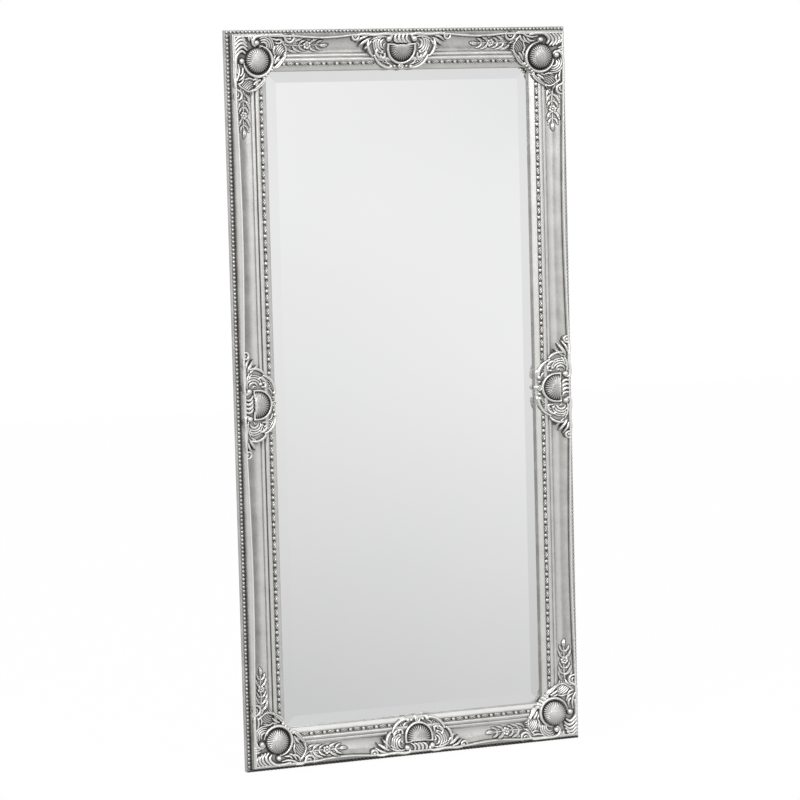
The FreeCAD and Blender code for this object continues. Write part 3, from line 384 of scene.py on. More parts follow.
def rail_patina_and_shade(side):
    """How dark each point of a rail's profile is: patina in its hollows, with painted shade and light that
    differ from side to side.
    """
    u, h = POINTS.T
    dark = np.interp(u, LINE, hollow_of(surface_height(LINE), LINE_STEP, *RAIL_HOLLOWS))
    # Patina with painted shade, set per side, on the lip's outer face and in the seats of the pearls and the
    # beads
    dark = np.where(EDGES == LIP_RISE, np.maximum(dark, LIP_PATINA_AND_SHADE[side]), dark)
    dark = np.where(EDGES == PEARL_WALL, np.maximum(dark, WALL_PATINA), dark)
    pearl_seat, outer_seat, inner_seat = SEAT_PATINA_AND_SHADE[side]
    seat = (EDGES == PEARL_FLOOR) | (EDGES == PEARL_WALL)
    dark = np.where(seat & (u < SEAT_END), pearl_seat, dark)
    seat = (EDGES == REEL_FLOOR) | (EDGES == REEL_STEP)
    dark = np.where(seat, np.where(u < REEL_IN, outer_seat, inner_seat), dark)
    # Patina and painted light on the sight slope, set per side
    dark[EDGES == SIGHT_SLOPE] = SLOPE_PATINA_AND_LIGHT[side]
    # Painted shadow lines: in the crevice between the reeds on the left, along the sight edge on the right
    if side == "left":
        dark[np.abs(u - CREVICE) < CREVICE_HALF] = CREVICE_SHADOW
    if side == "right":
        dark[(EDGES == NOSE) | (EDGES == SIGHT_EDGE)] = EDGE_SHADOW
    # Painted light and shade across the cove, set per side
    dark += np.where(EDGES == COVE, np.interp(u, COVE_PLACES, COVE_PAINTED_LIGHT[side]), 0)
    return np.where((u == 0) & (h < PEARL_SEAT), OUTER_PATINA, dark)


def rail(side):
    node, length = RAILS[side]
    u, h = POINTS.T
    swelled = np.linspace(CREST_REACH, length / 2 - CORNER_REACH, SWELL_STEPS) / (length / 2)
    steps = np.concatenate([[-1.0], -swelled[::-1], swelled, [1.0]])
    s = steps[:, None] * (length / 2 - u)
    across = u + swell_at(s, length) * np.where(EDGES >= SIGHT_EDGE, 0, swell_share(u))
    points = np.stack([s, across, np.broadcast_to(h, s.shape)], -1).reshape(-1, 3)
    quads, ends = ring_faces(*s.shape)
    wood = np.roll(np.tile(EDGES >= REBATE, (len(steps) - 1, 1)), -1, 1).reshape(-1)
    new_piece(node, "_moulding", SIDES[side], points, quads, np.tile(rail_patina_and_shade(side), len(steps)), ends,
              RAIL_HARD, np.append(wood, [True, True]))


for side_name in SIDES:
    rail(side_name)


# Pearls, and beads between twisted spindles

# Grooves round a spindle, and how far they turn along it, in radians per millimetre
GROOVES, TWIST = 4, 0.45


def fade(values, start, depth):
    """0 above a start, and up to 1 at a depth below it."""
    return np.clip((start - values) / depth, 0, 1)


def lathe(stations, radii, depth, around, u, h):
    """A turned piece along s; depth is that of the grooves that twist round it."""
    phase = np.arange(around) * TAU / around
    twist = np.abs(np.sin(GROOVES / 2 * phase - TWIST * stations[:, None]))
    out = radii[:, None] - depth[:, None] * (1 - twist)
    points = np.stack([
        np.repeat(stations, around),
        u + (out * np.cos(phase)).reshape(-1),
        h + (out * np.sin(phase)).reshape(-1)], -1)
    return points, *ring_faces(len(stations), around)


def joined(*parts):
    """One set of points, quads and end faces out of several."""
    points, quads, ends = [], [], []
    offset = 0
    for part_points, part_quads, part_ends in parts:
        points.append(part_points)
        quads.append(part_quads + offset)
        ends += [[index + offset for index in end] for end in part_ends]
        offset += len(part_points)
    return np.concatenate(points), np.concatenate(quads), ends


PEARL_PITCH, PEARL_IN, PEARL_HEIGHT, PEARL_SIDE = 9.1, 4.6, 19.0, 4.0
BALL, BALL_RINGS, BALL_AROUND, BALL_TIP = 3.8, 10, 14, 0.02
# The thread shows only in the gaps between the pearls, where its dark colour is painted shade
THREAD, THREAD_AROUND, THREAD_SHADE = 2.0, 10, 0.8
# Patina all over the pearls, and painted shade towards their feet, on their flanks, and under those of the
# bottom strip
PEARL_PATINA, PEARL_FOOT_SHADE, PEARL_FLANK_SHADE, PEARL_UNDER_SHADE = 0.38, 0.42, 0.2, 0.9
PEARL_HARD = 50


def pearl():
    """Points and quads of a ball whose poles lie along s."""
    turn = np.linspace(0, math.pi, BALL_RINGS + 1)
    phase = np.arange(BALL_AROUND) * TAU / BALL_AROUND
    along = -BALL * np.cos(turn)[:, None] * np.ones(BALL_AROUND)
    out = BALL * np.maximum(np.sin(turn), BALL_TIP)[:, None]
    points = np.stack([along, PEARL_IN + out * np.cos(phase), PEARL_HEIGHT + out * np.sin(phase)], -1)
    return points.reshape(-1, 3), ring_faces(BALL_RINGS + 1, BALL_AROUND)[0]


def pearls(side):
    length = RAILS[side][1]
    span = length - 2 * PEARL_IN
    count = round(span / PEARL_PITCH)
    skip = 0 if length == WIDTH else 1
    centres = -span / 2 + np.arange(skip, count + 1 - skip) * span / count
    ball, faces = pearl()
    thread = lathe(centres[[0, -1]], np.full(2, THREAD), np.zeros(2), THREAD_AROUND, PEARL_IN, PEARL_HEIGHT)
    points, quads, ends = joined(*((ball + (centre, 0, 0), faces, []) for centre in centres), thread)
    across = (points[:, 1] - PEARL_IN) / PEARL_SIDE
    # Painted shade towards each pearl's foot and on its flanks
    foot = fade(points[:, 2], PEARL_HEIGHT + 1.4, 3.5)
    dark = PEARL_PATINA + PEARL_FOOT_SHADE * foot + PEARL_FLANK_SHADE * across**2
    dark[-2 * THREAD_AROUND:] = THREAD_SHADE
    # Painted shade on the underside of the bottom strip's pearls
    if side == "bottom":
        dark += PEARL_UNDER_SHADE * fade(across, 0.6, 1)
    new_piece(side + "_pearl_strip", "_beads", SIDES[side], points, quads, dark, ends, PEARL_HARD)


SPINDLE_LENGTH, SPINDLE_STATIONS, BEAD_LENGTH, BEAD_STATIONS = 19.8, 28, 11.0, 10
# Least radius or depth, what is added in the middle, and how full the form is
SPINDLE, GROOVE, BEAD = (2.3, 1.7, 0.55), (0.0, 2.0, 0.4), (1.7, 2.2, 0.8)
REEL_END, REEL_AROUND, REEL_HARD = 2.0, 20, 42
# Patina all over, painted shade towards the foot, patina in the necks, and more of it on the beads
REEL_PATINA, REEL_FOOT_SHADE, REEL_NECK, BEAD_DULL = 0.16, 0.55, 0.9, 0.08
# How much of their reach the ornaments have at the strip, and the gap that the strip leaves
AT_CREST, AT_CORNER, REEL_GAP = 0.545, 0.835, 0.4
CREST_AT_REELS = CREST_REACH * AT_CREST + REEL_GAP
CORNER_AT_REELS = CORNER_REACH * AT_CORNER + REEL_GAP


def belly(share, least, more, fullness):
    return least + more * np.sin(math.pi * share) ** fullness


def reel_run(start, end):
    """Stations, radii and groove depths of the spindles and beads from one ornament to the next."""
    period = SPINDLE_LENGTH + BEAD_LENGTH
    count = round((end - start) / period)
    stretch = (end - start) / (count * period)
    spindle = np.linspace(0, 1, SPINDLE_STATIONS, endpoint=False)
    bead = np.linspace(0, 1, BEAD_STATIONS, endpoint=False)
    along = np.concatenate([SPINDLE_LENGTH * spindle, SPINDLE_LENGTH + BEAD_LENGTH * bead])
    runs = [start + stretch * (period * number + along) for number in range(count)]
    radii = np.tile(np.concatenate([belly(spindle, *SPINDLE), belly(bead, *BEAD)]), count)
    depth = np.tile(np.concatenate([belly(spindle, *GROOVE), 0 * bead]), count)
    return np.concatenate(runs + [[end]]), np.append(radii, REEL_END), np.append(depth, 0.0)


def reels(side):
    outer = RAILS[side][1] / 2 - CORNER_AT_REELS
    runs = (reel_run(-outer, -CREST_AT_REELS), reel_run(CREST_AT_REELS, outer))
    points, quads, ends = joined(*(lathe(*run, REEL_AROUND, REEL_IN, REEL_HEIGHT) for run in runs))
    depth = np.concatenate([run[2] for run in runs])
    out = np.hypot(points[:, 1] - REEL_IN, points[:, 2] - REEL_HEIGHT)
    # Painted shade towards the strip's foot, where it sits in its seat
    dark = REEL_PATINA + REEL_FOOT_SHADE * fade(points[:, 2], REEL_HEIGHT + 0.8, 3.0)
    dark += REEL_NECK * fade(out, 3.6, 1.2) + np.repeat(np.where(depth > 0, 0, BEAD_DULL), REEL_AROUND)
    new_piece(side + "_bead_and_reel_strip", "_turned", SIDES[side], points, quads, dark, ends, REEL_HARD)


for side_name in SIDES:
    pearls(side_name)
    reels(side_name)


# Carved reliefs: a height over a grid of places, built up from wires, domes and grooves

NOTHING = -50.0
GROUND_MARGIN = 1.5
TINY = 1e-9
# A shell dome: how far out it stays smooth and its flutes deepen, their width and depth, and its roughness
SMOOTH_SHARE, DEEPENING, FLUTE_WIDTH, FLUTE_DEPTH, ROUGHNESS, DOME_FULLNESS = 0.38, 0.4, 22, 2.1, 0.35, 1.2
# Painted shade towards its edge, how steeply that sets in, and how far outside it reaches
SHELL_EDGE_SHADE, SHELL_ONSET, SHELL_MARGIN = 0.82, 4.5, 4


def to_segment(x, y, a, b):
    """The share of a segment at which it is nearest to a place, and how far away that is."""
    along = b - a
    share = np.clip(((x - a[0]) * along[0] + (y - a[1]) * along[1]) / max(along @ along, TINY), 0, 1)
    return share, np.hypot(x - a[0] - share * along[0], y - a[1] - share * along[1])


def inside_distance(x, y, outline):
    """Distance inside a closed outline, negative outside."""
    points = np.asarray(outline, float)
    gap = np.full(x.shape, np.inf)
    inside = np.zeros(x.shape, bool)
    for a, b in zip(points, np.roll(points, -1, 0)):
        gap = np.minimum(gap, to_segment(x, y, a, b)[1])
        if a[1] != b[1]:
            crosses = (a[1] > y) != (b[1] > y)
            inside ^= crosses & (x < a[0] + (y - a[1]) * (b[0] - a[0]) / (b[1] - a[1]))
    return np.where(inside, gap, -gap)


def arc(x, y, radius, start, end, steps=24):
    turn = np.radians(np.linspace(start, end, steps))
    return np.stack([x + radius * np.cos(turn), y + radius * np.sin(turn)], 1)


def spline(points, steps=10):
    """A smooth line through points."""
    points = np.asarray(points, float)
    padded = np.concatenate([[2 * points[0] - points[1]], points, [2 * points[-1] - points[-2]]])
    out = []
    share = np.linspace(0, 1, steps, endpoint=False)[:, None]
    for a, b, c, d in zip(padded, padded[1:], padded[2:], padded[3:]):
        out.append(0.5 * (2 * b + (c - a) * share + (2 * a - 5 * b + 4 * c - d) * share**2
                          + (3 * b - a - 3 * c + d) * share**3))
    return np.concatenate(out + [points[-1:]])


class Relief:
    """Heights over a grid: relief over the ornament's plane, solid the distance inside, shade painted shade
    and highlight.
    """

    def __init__(self, first, last, step):
        self.step = step
        places = [np.arange(low, high + step, step) for low, high in zip(first, last)]
        self.s, self.u = np.meshgrid(*places, indexing="ij")
        self.x, self.y = self.s, self.u
        self.relief = np.full(self.s.shape, NOTHING)
        self.solid = np.full(self.s.shape, NOTHING)
        self.shade = np.zeros(self.s.shape)

    def fold(self, x, y):
        """Draws what follows in folded coordinates, so that it repeats with a symmetry."""
        self.x, self.y = x, y

    def raise_to(self, inside, height, distance=NOTHING):
        """Raises the relief where inside holds, and makes the solid reach as far as the distance says."""
        self.relief = np.where(inside, np.maximum(self.relief, height), self.relief)
        self.solid = np.maximum(self.solid, distance)

    def ground(self, outline, level, ease=2.2):
        """A flat ground inside an outline, eased down along its edge."""
        distance = inside_distance(self.x, self.y, outline)
        fall = np.clip(ease - distance, 0, ease)
        height = level - (ease - np.sqrt(np.maximum(ease**2 - fall**2, 0)))
        self.raise_to(distance > -GROUND_MARGIN, height, distance)

    def tube(self, points, radius, lift=0.0, flat=1.0):
        """A round wire along points; radius and lift may change along it."""
        points = np.asarray(points, float)
        places = np.linspace(0, 1, len(points))
        radii, lifts = (
            np.interp(places, np.linspace(0, 1, np.size(values)), np.atleast_1d(values))
            for values in (radius, lift))
        for number, (a, b) in enumerate(zip(points[:-1], points[1:])):
            reach = max(radii[number], radii[number + 1]) + 2
            low, high = np.minimum(a, b) - reach, np.maximum(a, b) + reach
            near = (self.x > low[0]) & (self.x < high[0]) & (self.y > low[1]) & (self.y < high[1])
            if not near.any():
                continue
            share, gap = to_segment(self.x[near], self.y[near], a, b)
            wide = radii[number] + share * (radii[number + 1] - radii[number])
            raised = lifts[number] + share * (lifts[number + 1] - lifts[number])
            height = raised + flat * np.sqrt(np.maximum(wide**2 - gap**2, 0))
            self.relief[near] = np.where(gap < wide, np.maximum(self.relief[near], height), self.relief[near])
            self.solid[near] = np.maximum(self.solid[near], wide - gap)

    def stroke(self, points, wire, lift=0.0, foot=0.35, tip=0.3):
        """A leaf, flute or scroll: a wire along a smooth line, thin at its foot and its tip."""
        self.tube(spline(points), (wire * foot, wire * 0.85, wire, wire * 0.85, wire * tip), lift)

    def strokes(self, *rows):
        """Several strokes, each row with the values for one."""
        for row in rows:
            self.stroke(*row)

    def dome(self, x, y, radius, rise, lift=0.0, counts=False):
        gap = np.hypot(self.x - x, self.y - y)
        height = lift + rise * np.sqrt(np.maximum(1 - (gap / radius) ** 2, 0))
        self.raise_to(gap < radius, height, radius - gap if counts else NOTHING)

    def shell_dome(self, x, y, radius, rise, lift, flutes, shade):
        """A low dome, rough in the middle and fluted further out, with painted shade along its edge; shade
        adds painted shade over it, or a painted highlight below zero.
        """
        out = np.hypot(self.x - x, self.y - y)
        turn = np.arctan2(self.y - y, self.x - x)
        share = np.clip((out - SMOOTH_SHARE * radius) / (DEEPENING * radius), 0, 1)
        groove = np.clip(1 - np.abs(np.sin(flutes * turn / 2)) * flutes * out / (radius * FLUTE_WIDTH), 0, 1)
        waves = np.cos(1.3 * self.x + 0.7 * self.y) * np.cos(0.9 * self.y - 0.5 * self.x)
        height = lift + rise * np.sqrt(np.maximum(1 - (out / radius) ** 2, 0)) ** DOME_FULLNESS
        height += ROUGHNESS * waves * (1 - share) - FLUTE_DEPTH * share * groove
        self.raise_to(out < radius, height)
        edge = SHELL_EDGE_SHADE * np.clip(out / radius, 0, 1) ** SHELL_ONSET
        self.shade = np.where(out < radius + SHELL_MARGIN, shade + edge, self.shade)

    def carve(self, points, width, depth):
        """A groove along points."""
        points = np.asarray(points, float)
        gap = np.full(self.x.shape, np.inf)
        for a, b in zip(points[:-1], points[1:]):
            gap = np.minimum(gap, to_segment(self.x, self.y, a, b)[1])
        self.relief = self.relief - depth * np.exp(-((gap / width) ** 2))


WALL_SLOPE, LOWEST, THINNEST, KEPT_OUTSIDE = 22.0, -14.0, 0.3, 1.3
# Patina and painted shade round a solid's foot and on its edge over the glass, patina underneath, with the
# width of the first two;
# and the level under which the film of patina and painted shade lies
FOOT_PATINA_AND_SHADE, SIGHT_PATINA, UNDER_PATINA = 0.56, 0.35, 0.6
FOOT_WIDTH, SIGHT_WIDTH, FILM_LEVEL = 0.9, 3, 0.5


def relief_solid(shape, plane, bed, base, inwards, patina, patina_and_shade_film=0.0):
    """Points, quads and patina with painted shade of a closed solid: the relief on its plane, and a base
    inside the rail.
    """
    wall = np.clip(-shape.solid, 0, None)
    top = plane + np.maximum(shape.relief, LOWEST) - WALL_SLOPE * wall
    top = np.maximum(top, base + THINNEST)
    dark = hollow_of(np.maximum(top, bed), shape.step) * patina + shape.shade
    # The film and the foot of each solid are dark with patina and painted shade
    dark = np.where(shape.relief < FILM_LEVEL, np.maximum(dark, patina_and_shade_film), dark)
    foot = np.where(inwards > RAIL - SIGHT_WIDTH, SIGHT_PATINA, np.maximum(dark, FOOT_PATINA_AND_SHADE))
    dark = np.where(shape.solid < FOOT_WIDTH, foot, dark)
    kept = shape.solid > -KEPT_OUTSIDE
    kept = kept[:-1, :-1] | kept[1:, :-1] | kept[:-1, 1:] | kept[1:, 1:]
    count = shape.s.size
    grid = np.arange(count).reshape(shape.s.shape)
    quads = np.stack([grid[:-1, :-1], grid[1:, :-1], grid[1:, 1:], grid[:-1, 1:]], -1)[kept]
    points = np.stack([shape.s, shape.u, top], -1).reshape(-1, 3)
    under = np.stack([shape.s, shape.u, np.broadcast_to(base, top.shape)], -1).reshape(-1, 3)
    edges = np.concatenate([quads[:, [start, (start + 1) % 4]] for start in range(4)])
    rim = edges[~np.isin(edges[:, 0] * count + edges[:, 1], edges[:, 1] * count + edges[:, 0])]
    faces = np.concatenate([
        quads, quads[:, ::-1] + count,
        np.stack([rim[:, 1], rim[:, 0], rim[:, 0] + count, rim[:, 1] + count], -1)])
    used, faces = np.unique(faces, return_inverse=True)
    darks = np.concatenate([dark.reshape(-1), np.full(count, UNDER_PATINA)])[used]
    return np.concatenate([points, under])[used], faces.reshape(-1, 4), darks


# Where a cartouche's field starts, and its plane: height at the outer edge and fall per millimetre inwards
FIELD_START = 10.4
FIELD_EDGE, FIELD_FALL = 46.8, (46.8 - 29.4) / RAIL
CORE_LEVEL = -5.2
CARTOUCHE_BASE = 15.0


def outline_of(corners, rises):
    """A closed outline through corners, with arcs over some edges."""
    points = []
    for number, start in enumerate(corners):
        end = corners[(number + 1) % len(corners)]
        points.append(np.array([start], float))
        if number in rises:
            points.append(arc_points(start, end, rises[number], 10)[:-1])
    return np.concatenate(points)


CREST_STEP, CREST_PATINA = 0.62, 1.16
RIM_UP, RIM_RADIUS, DISH_LEVEL = 47.2, 33.0, -2.4
BOSS_UP, BOSS_RADIUS, BAR_UP = 46.0, 31.0, 38.4
LOBE = (27.5, 50.7)


def crest():
    """The centre cartouche, drawn for the right half and folded over."""
    shape = Relief((-127.0, 9.4), (127.0, 96.0), CREST_STEP)
    shape.fold(np.abs(shape.s), shape.u)
    core = outline_of([(0, FIELD_START), (92, FIELD_START), (86, 38), (83, 46), (67.8, 64.7), (29.8, 92.2),
                       (10, 91), (0, 91.5), (-5, 91.5), (-5, FIELD_START)],
                      {3: -4.5, 4: -7.5})
    shape.ground(core, CORE_LEVEL)
    # Leaf at the end: blades, and a hook that curls over on the lip
    shape.strokes(
        ([(74, 29), (82, 38), (90, 48)], 3.2, -3.4),
        ([(78, 23), (90, 30), (103, 40)], 3.8, (-2.4, -4.0, -8.0)),
        ([(84, 18), (97, 22), (110, 31)], 3.2, (-3.0, -4.0, -8.0)),
    )
    for line in ([(80, 25), (90, 32), (100, 39)], [(77, 31), (83, 38), (88, 45)]):
        shape.carve(spline(line), 0.7, 1.3)
    shape.tube(np.concatenate([spline([(78, 15), (94, 13.2), (106, 13.4)]), arc(113.5, 18.8, 7.4, 215, -30)]),
               (3.2, 3.0, 2.2, 2.6, 3.0, 2.0), (-1.6, -1.8, -2.4, -2.2, -2.4, -3.4))
    shape.dome(112.8, 17.6, 5.0, 5.0, -6.4, counts=True)
    # Border in two lobes, and its ball
    shape.tube(arc(50, 38, 33, -16, 52), (1.6, 2.7, 3.0, 3.0, 2.4), (-2.0, 0.6, 0.8, 0.8, -0.2))
    shape.tube(arc(27.5, 50.2, 40.6, 18, 93), (2.4, 2.9, 3.0, 3.0, 2.8), (0.0, 0.8, 0.8, 0.6, 0.2))
    shape.dome(24.8, 88.6, 4.5, 5.0, 0.0, counts=True)
    shape.tube(arc(*LOBE, 35.6, 24, 84), (0.9, 1.5, 1.5, 1.0), -3.6)
    # Nested crescents round the head of the volute
    for radius, wire, start, end in ((10.6, 3.0, -78, 82), (16.8, 2.5, -60, 84), (22.4, 2.3, -46, 78),
                                     (27.4, 1.7, -26, 66)):
        shape.stroke(arc(41, 36, radius, start, end, 9), wire, -2.4)
    shape.stroke([(38, 34), (43, 38), (42, 44)], 1.8, -3.0)
    # Head of the volute with its tail along the lip
    shape.dome(31.5, 25, 6.2, 6.6, -1.4)
    shape.tube(spline([(26.4, 23), (25.6, 16.5), (33, 13.4), (46, 13.6), (60, 15.4), (80, 15)]),
               (2.4, 3.0, 3.2, 3.4, 3.2, 2.8), -1.0)
    # The fluted leaf, the C-scroll with its leaf, and the seeds between rim and border
    shape.strokes(
        ([(37, 20.5), (48, 19.4), (62, 21.6), (74, 27)], 2.4, -2.2),
        ([(54, 24.6), (64, 27.4), (72, 33)], 2.0, -2.8),
        ([(40.5, 58), (41, 66), (47.5, 67.5), (50, 61.5)], 2.9, -1.2, 0.7, 0.6),
        ([(49, 69), (57, 64), (62, 56), (59, 49)], 3.3, -1.4, 0.4, 0.7),
        ([(37.5, 72), (32, 80), (22, 83.5)], 2.0, -2.6),
    )
    shape.dome(47, 55.5, 3.4, 3.8, -1.8)
    for seed in arc(*LOBE, 30.5, 40, 80, 5):
        shape.dome(*seed, 1.7, 2.2, -3.6)
    # Boss: a fluted dome in a dish, its rim and the bar under it
    gap = np.hypot(shape.x, shape.y - RIM_UP)
    shape.relief = np.where((gap < RIM_RADIUS) & (shape.y > 38) & (shape.solid > 0), DISH_LEVEL, shape.relief)
    bare = shape.relief
    # The crest's boss gets painted shade all over, more of it towards its edge
    shape.shell_dome(0, BOSS_UP, BOSS_RADIUS, 9.0, -1.6, 30, 0.13)
    shape.relief = np.where(shape.y > BAR_UP, shape.relief, bare)
    shape.shade = np.where((shape.y > BAR_UP) & (gap < BOSS_RADIUS), shape.shade, 0)
    bar_end = (RIM_RADIUS, 37.2)
    shape.tube(np.concatenate([[bar_end], arc(0, RIM_UP, RIM_RADIUS, 0, 92)]), (2.0, 2.5, 2.6, 2.6), 0.8)
    shape.tube([(16, 37.4), bar_end], (1.2, 2.2), 0.0)
    shape.dome(4.2, 39.6, 2.5, 2.8, 0.0)
    # Knob and pearls at the sight edge
    shape.dome(14.6, 86.8, 2.9, 3.0, -3.0)
    shape.tube(arc(0, 87.8, 5.0, 0, 360), 1.7, 0.6)
    shape.dome(0, 87.8, 2.6, 3.0, -0.2)
    # Curved flutes under the boss, all leaning one way
    shape.fold(shape.s, shape.u)
    for across, wire in ((-15.0, 2.9), (-5.6, 3.7), (4.0, 3.8), (13.6, 3.4)):
        shape.stroke([(across - 6.4, 33.6), (across + 0.2, 30.0), (across + 3.4, 23.0), (across + 1.0, 14.6)],
                     wire, -0.8, 0.4, 0.5)
    plane = FIELD_EDGE - FIELD_FALL * shape.u
    return relief_solid(shape, plane, surface_height(shape.u), CARTOUCHE_BASE, shape.u, CREST_PATINA)


CORNER_GRID = ((9.4, 9.4), (162.0, 162.0), 0.66)
CORNER_PATINA = 1.4
CORNER_BOSS, CORNER_RIM, CORNER_DISH, CORNER_SHADED, CORNER_LIFT = 71, 34.6, 36, 31, 5.0
# Where the rim is whole, in degrees, and how far out the boss counts there and elsewhere
RIM_FROM, RIM_TO, RIM_OUT, DOME_OUT = -84, 172, 37.8, 29.0
# The casting's underside and the rail's front near the glass
SIGHT_BASE, SIGHT_BASE_WIDTH, SIGHT_BED = 17.0, 4, 12.6


def corner_boss(gap, inward):
    """The boss of a corner: a dish, a fluted dome, a row of seeds, and a rim that fades at its ends."""
    boss = Relief(*CORNER_GRID)
    boss.relief = np.where(gap < CORNER_DISH, -4.4, NOTHING)
    # The corner's boss gets a faint painted highlight in its middle and painted shade towards its edge
    boss.shell_dome(70, 70, 28.6, 10.6, -3.0, 30, -0.06)
    for degrees in range(-66, 156, 8):
        boss.dome(*arc(CORNER_BOSS, CORNER_BOSS, 30.2, degrees, degrees, 1)[0], 1.9, 2.8, -3.4)
    rim = arc(CORNER_BOSS, CORNER_BOSS, CORNER_RIM, -82, 168, 50)
    boss.tube(rim, (1.2, 2.2, 2.9, 3.1, 3.1, 3.1, 2.9, 2.2, 1.2), (-3.0, -1.2, 0, 0, 0, 0, 0, -1.2, -3.0))
    boss.relief = np.where(gap >= np.where(inward, RIM_OUT, DOME_OUT), NOTHING, boss.relief)
    return boss


def corner():
    """The corner cartouche. Its boss, bands and hooks are symmetric about the diagonal."""
    shape = Relief(*CORNER_GRID)
    inwards = np.minimum(shape.s, shape.u)
    shape.fold(np.maximum(shape.s, shape.u), inwards)
    core = outline_of([(FIELD_START, FIELD_START), (130, FIELD_START), (134, 30), (136, 50), (114, 90),
                       (93.6, 93.6), (86, 98), (FIELD_START, 60)], {3: -2.5})
    shape.ground(core, CORE_LEVEL)
    # Fine flutes of the shell between the boss and the hook
    for radius in (13.5, 18.0, 22.5, 27.0, 31.5, 36.0, 40.5):
        shape.stroke(arc(149, 65, radius, 196, 258, 9), 1.6, -5.1, 0.6, 0.5)
    shape.strokes(
        ([(112.5, 60), (109.5, 49), (113, 37)], 2.2, -2.4),
        ([(131, 31), (137.6, 42), (138.5, 51), (134, 59)], 2.3, -2.2, 0.6, 0.6),
    )
    # Hook at the end of the leaf, with a second one inside
    hook = [spline([(112, 13.2), (126, 13.2), (134, 16.5)]), arc(147.2, 19.0, 11.0, 168, -38, 16)]
    shape.tube(np.concatenate(hook), (2.0, 2.4, 2.6, 3.0, 3.3, 3.1, 1.8),
               (-1.8, -2.0, -2.6, -4.0, -5.0, -5.2, -5.0))
    shape.ground(arc(147.2, 17.5, 10.0, 0, 360, 20), -10.0)
    shape.strokes(
        (arc(145.6, 17.0, 5.4, 190, -20, 9), 2.2, -6.6, 0.6, 0.6),
        ([(122, 22), (128, 27), (134, 36)], 2.4, -3.0),
        ([(134, 28), (140, 34.5), (149, 38.5)], 2.8, (-5.0, -7.5, -10.0), 0.6),
    )
    # Thick leaf towards the sight corner, its head, and the leaves beside it
    band = spline([(139.5, 55), (134, 64), (127.5, 73), (120, 82), (111.5, 88)])
    shape.tube(band, (1.4, 3.4, 4.5, 4.7, 3.6), (-1.6, -0.4, 0.0, 0.2, 0.0))
    shape.carve(band[4:-4], 0.8, 2.4)
    shape.dome(108.6, 86.6, 4.2, 5.0, -0.4)
    shape.strokes(
        ([(124, 60), (118, 67), (113, 76)], 2.8, -1.4, 0.4, 0.8),
        ([(114, 59), (110.5, 66), (108, 73)], 2.2, -2.0, 0.4, 0.8),
    )
    # The rest leans one way: waves in the outer corner, and the volute along each lip
    shape.fold(shape.s, shape.u)
    for line, wire in (
        ([(22.5, 39.5), (16.2, 31), (18.6, 23), (26, 15)], 2.5),
        ([(30.5, 43), (23.4, 34), (25, 24.5), (34.5, 15)], 3.0),
        ([(38.5, 45), (30.8, 35), (32.8, 25), (43.5, 15)], 3.2),
        ([(46.5, 45), (39.2, 36), (41.8, 26), (53.5, 15)], 3.3),
        ([(53, 40), (48.2, 32.5), (51.8, 24), (63, 16.6), (80, 16), (98, 19)], 3.6),
    ):
        shape.stroke(line, wire, -0.4, 0.55, 0.5)
    for up in (48.5, 54.0, 59.5):
        shape.stroke([(13.0, up), (19, up + 0.4), (26, up + 1.8)], 2.3, -1.2, 0.6)
    shape.dome(70.6, 31.4, 6.2, 6.6, -1.4)
    shape.tube(spline([(78, 22.5), (92, 24.5), (106, 21.5), (118, 15)]), (1.0, 2.2, 2.4, 1.4), -2.0)
    for line in (
        [(86, 33.5), (97, 33), (104, 27)], [(98, 38.5), (108, 33), (114, 23)],
        [(110, 36), (119, 30), (123, 20)],
    ):
        shape.stroke(line, 2.5, -2.2, 0.5, 0.4)
    shape.dome(30.6, 67.0, 6.2, 6.6, -1.4)
    volute = spline([(37.5, 63.5), (32, 59.2), (24, 59.4), (17.2, 65), (14.4, 77), (13.8, 96), (13.6, 114),
                     (13.2, 128)])
    shape.tube(volute, (2.0, 3.0, 3.4, 3.4, 3.2, 2.9, 2.6, 2.2), -0.8)
    for radius, wire in ((9.2, 2.6), (14.6, 2.5), (19.6, 2.2), (24.2, 1.8)):
        shape.stroke(arc(38, 84, radius, 74, 206, 9), wire, -2.2, 0.5, 0.5)
    shape.strokes(
        ([(21, 104), (24, 116), (22, 128)], 2.4, -2.4),
        ([(30, 112), (32, 121), (29, 131)], 2.2, -2.8),
    )
    # The boss stands on a plane of its own that falls along the diagonal
    plane = FIELD_EDGE - FIELD_FALL * inwards
    lift = FIELD_EDGE + CORNER_LIFT - FIELD_FALL / 2 * (shape.s + shape.u) - plane
    gap = np.hypot(shape.s - CORNER_BOSS, shape.u - CORNER_BOSS)
    turn = np.degrees(np.arctan2(shape.u - CORNER_BOSS, shape.s - CORNER_BOSS))
    inward = (turn > RIM_FROM) & (turn < RIM_TO)
    boss = corner_boss(gap, inward)
    taken = (boss.relief > NOTHING) & (inward | (boss.relief + lift > shape.relief))
    shape.relief = np.where(taken, boss.relief + lift, shape.relief)
    shape.solid = np.maximum(shape.solid, CORNER_DISH - gap)
    shape.shade = np.where(gap < CORNER_SHADED, boss.shade, 0)
    # Seeds at the sight corner
    for s, u in ((97.6, 97.6), (104.2, 91.8), (91.8, 104.2)):
        shape.dome(s, u, 3.3, 4.4, 3.0, counts=True)
    base = np.where(inwards > RAIL - SIGHT_BASE_WIDTH, SIGHT_BASE, CARTOUCHE_BASE)
    bed = np.where(inwards > RAIL, SIGHT_BED, surface_height(inwards))
    return relief_solid(shape, plane, bed, base, inwards, CORNER_PATINA)


SPRIG_START, SPRIG_LENGTH, SPRIG_MIDDLE = 142.0, 102.0, 36.6
SPRIG_STEP, SPRIG_PATINA, FILM_PATINA_AND_SHADE, FILM_HEIGHT = 0.5, 1.15, 0.66, 0.16
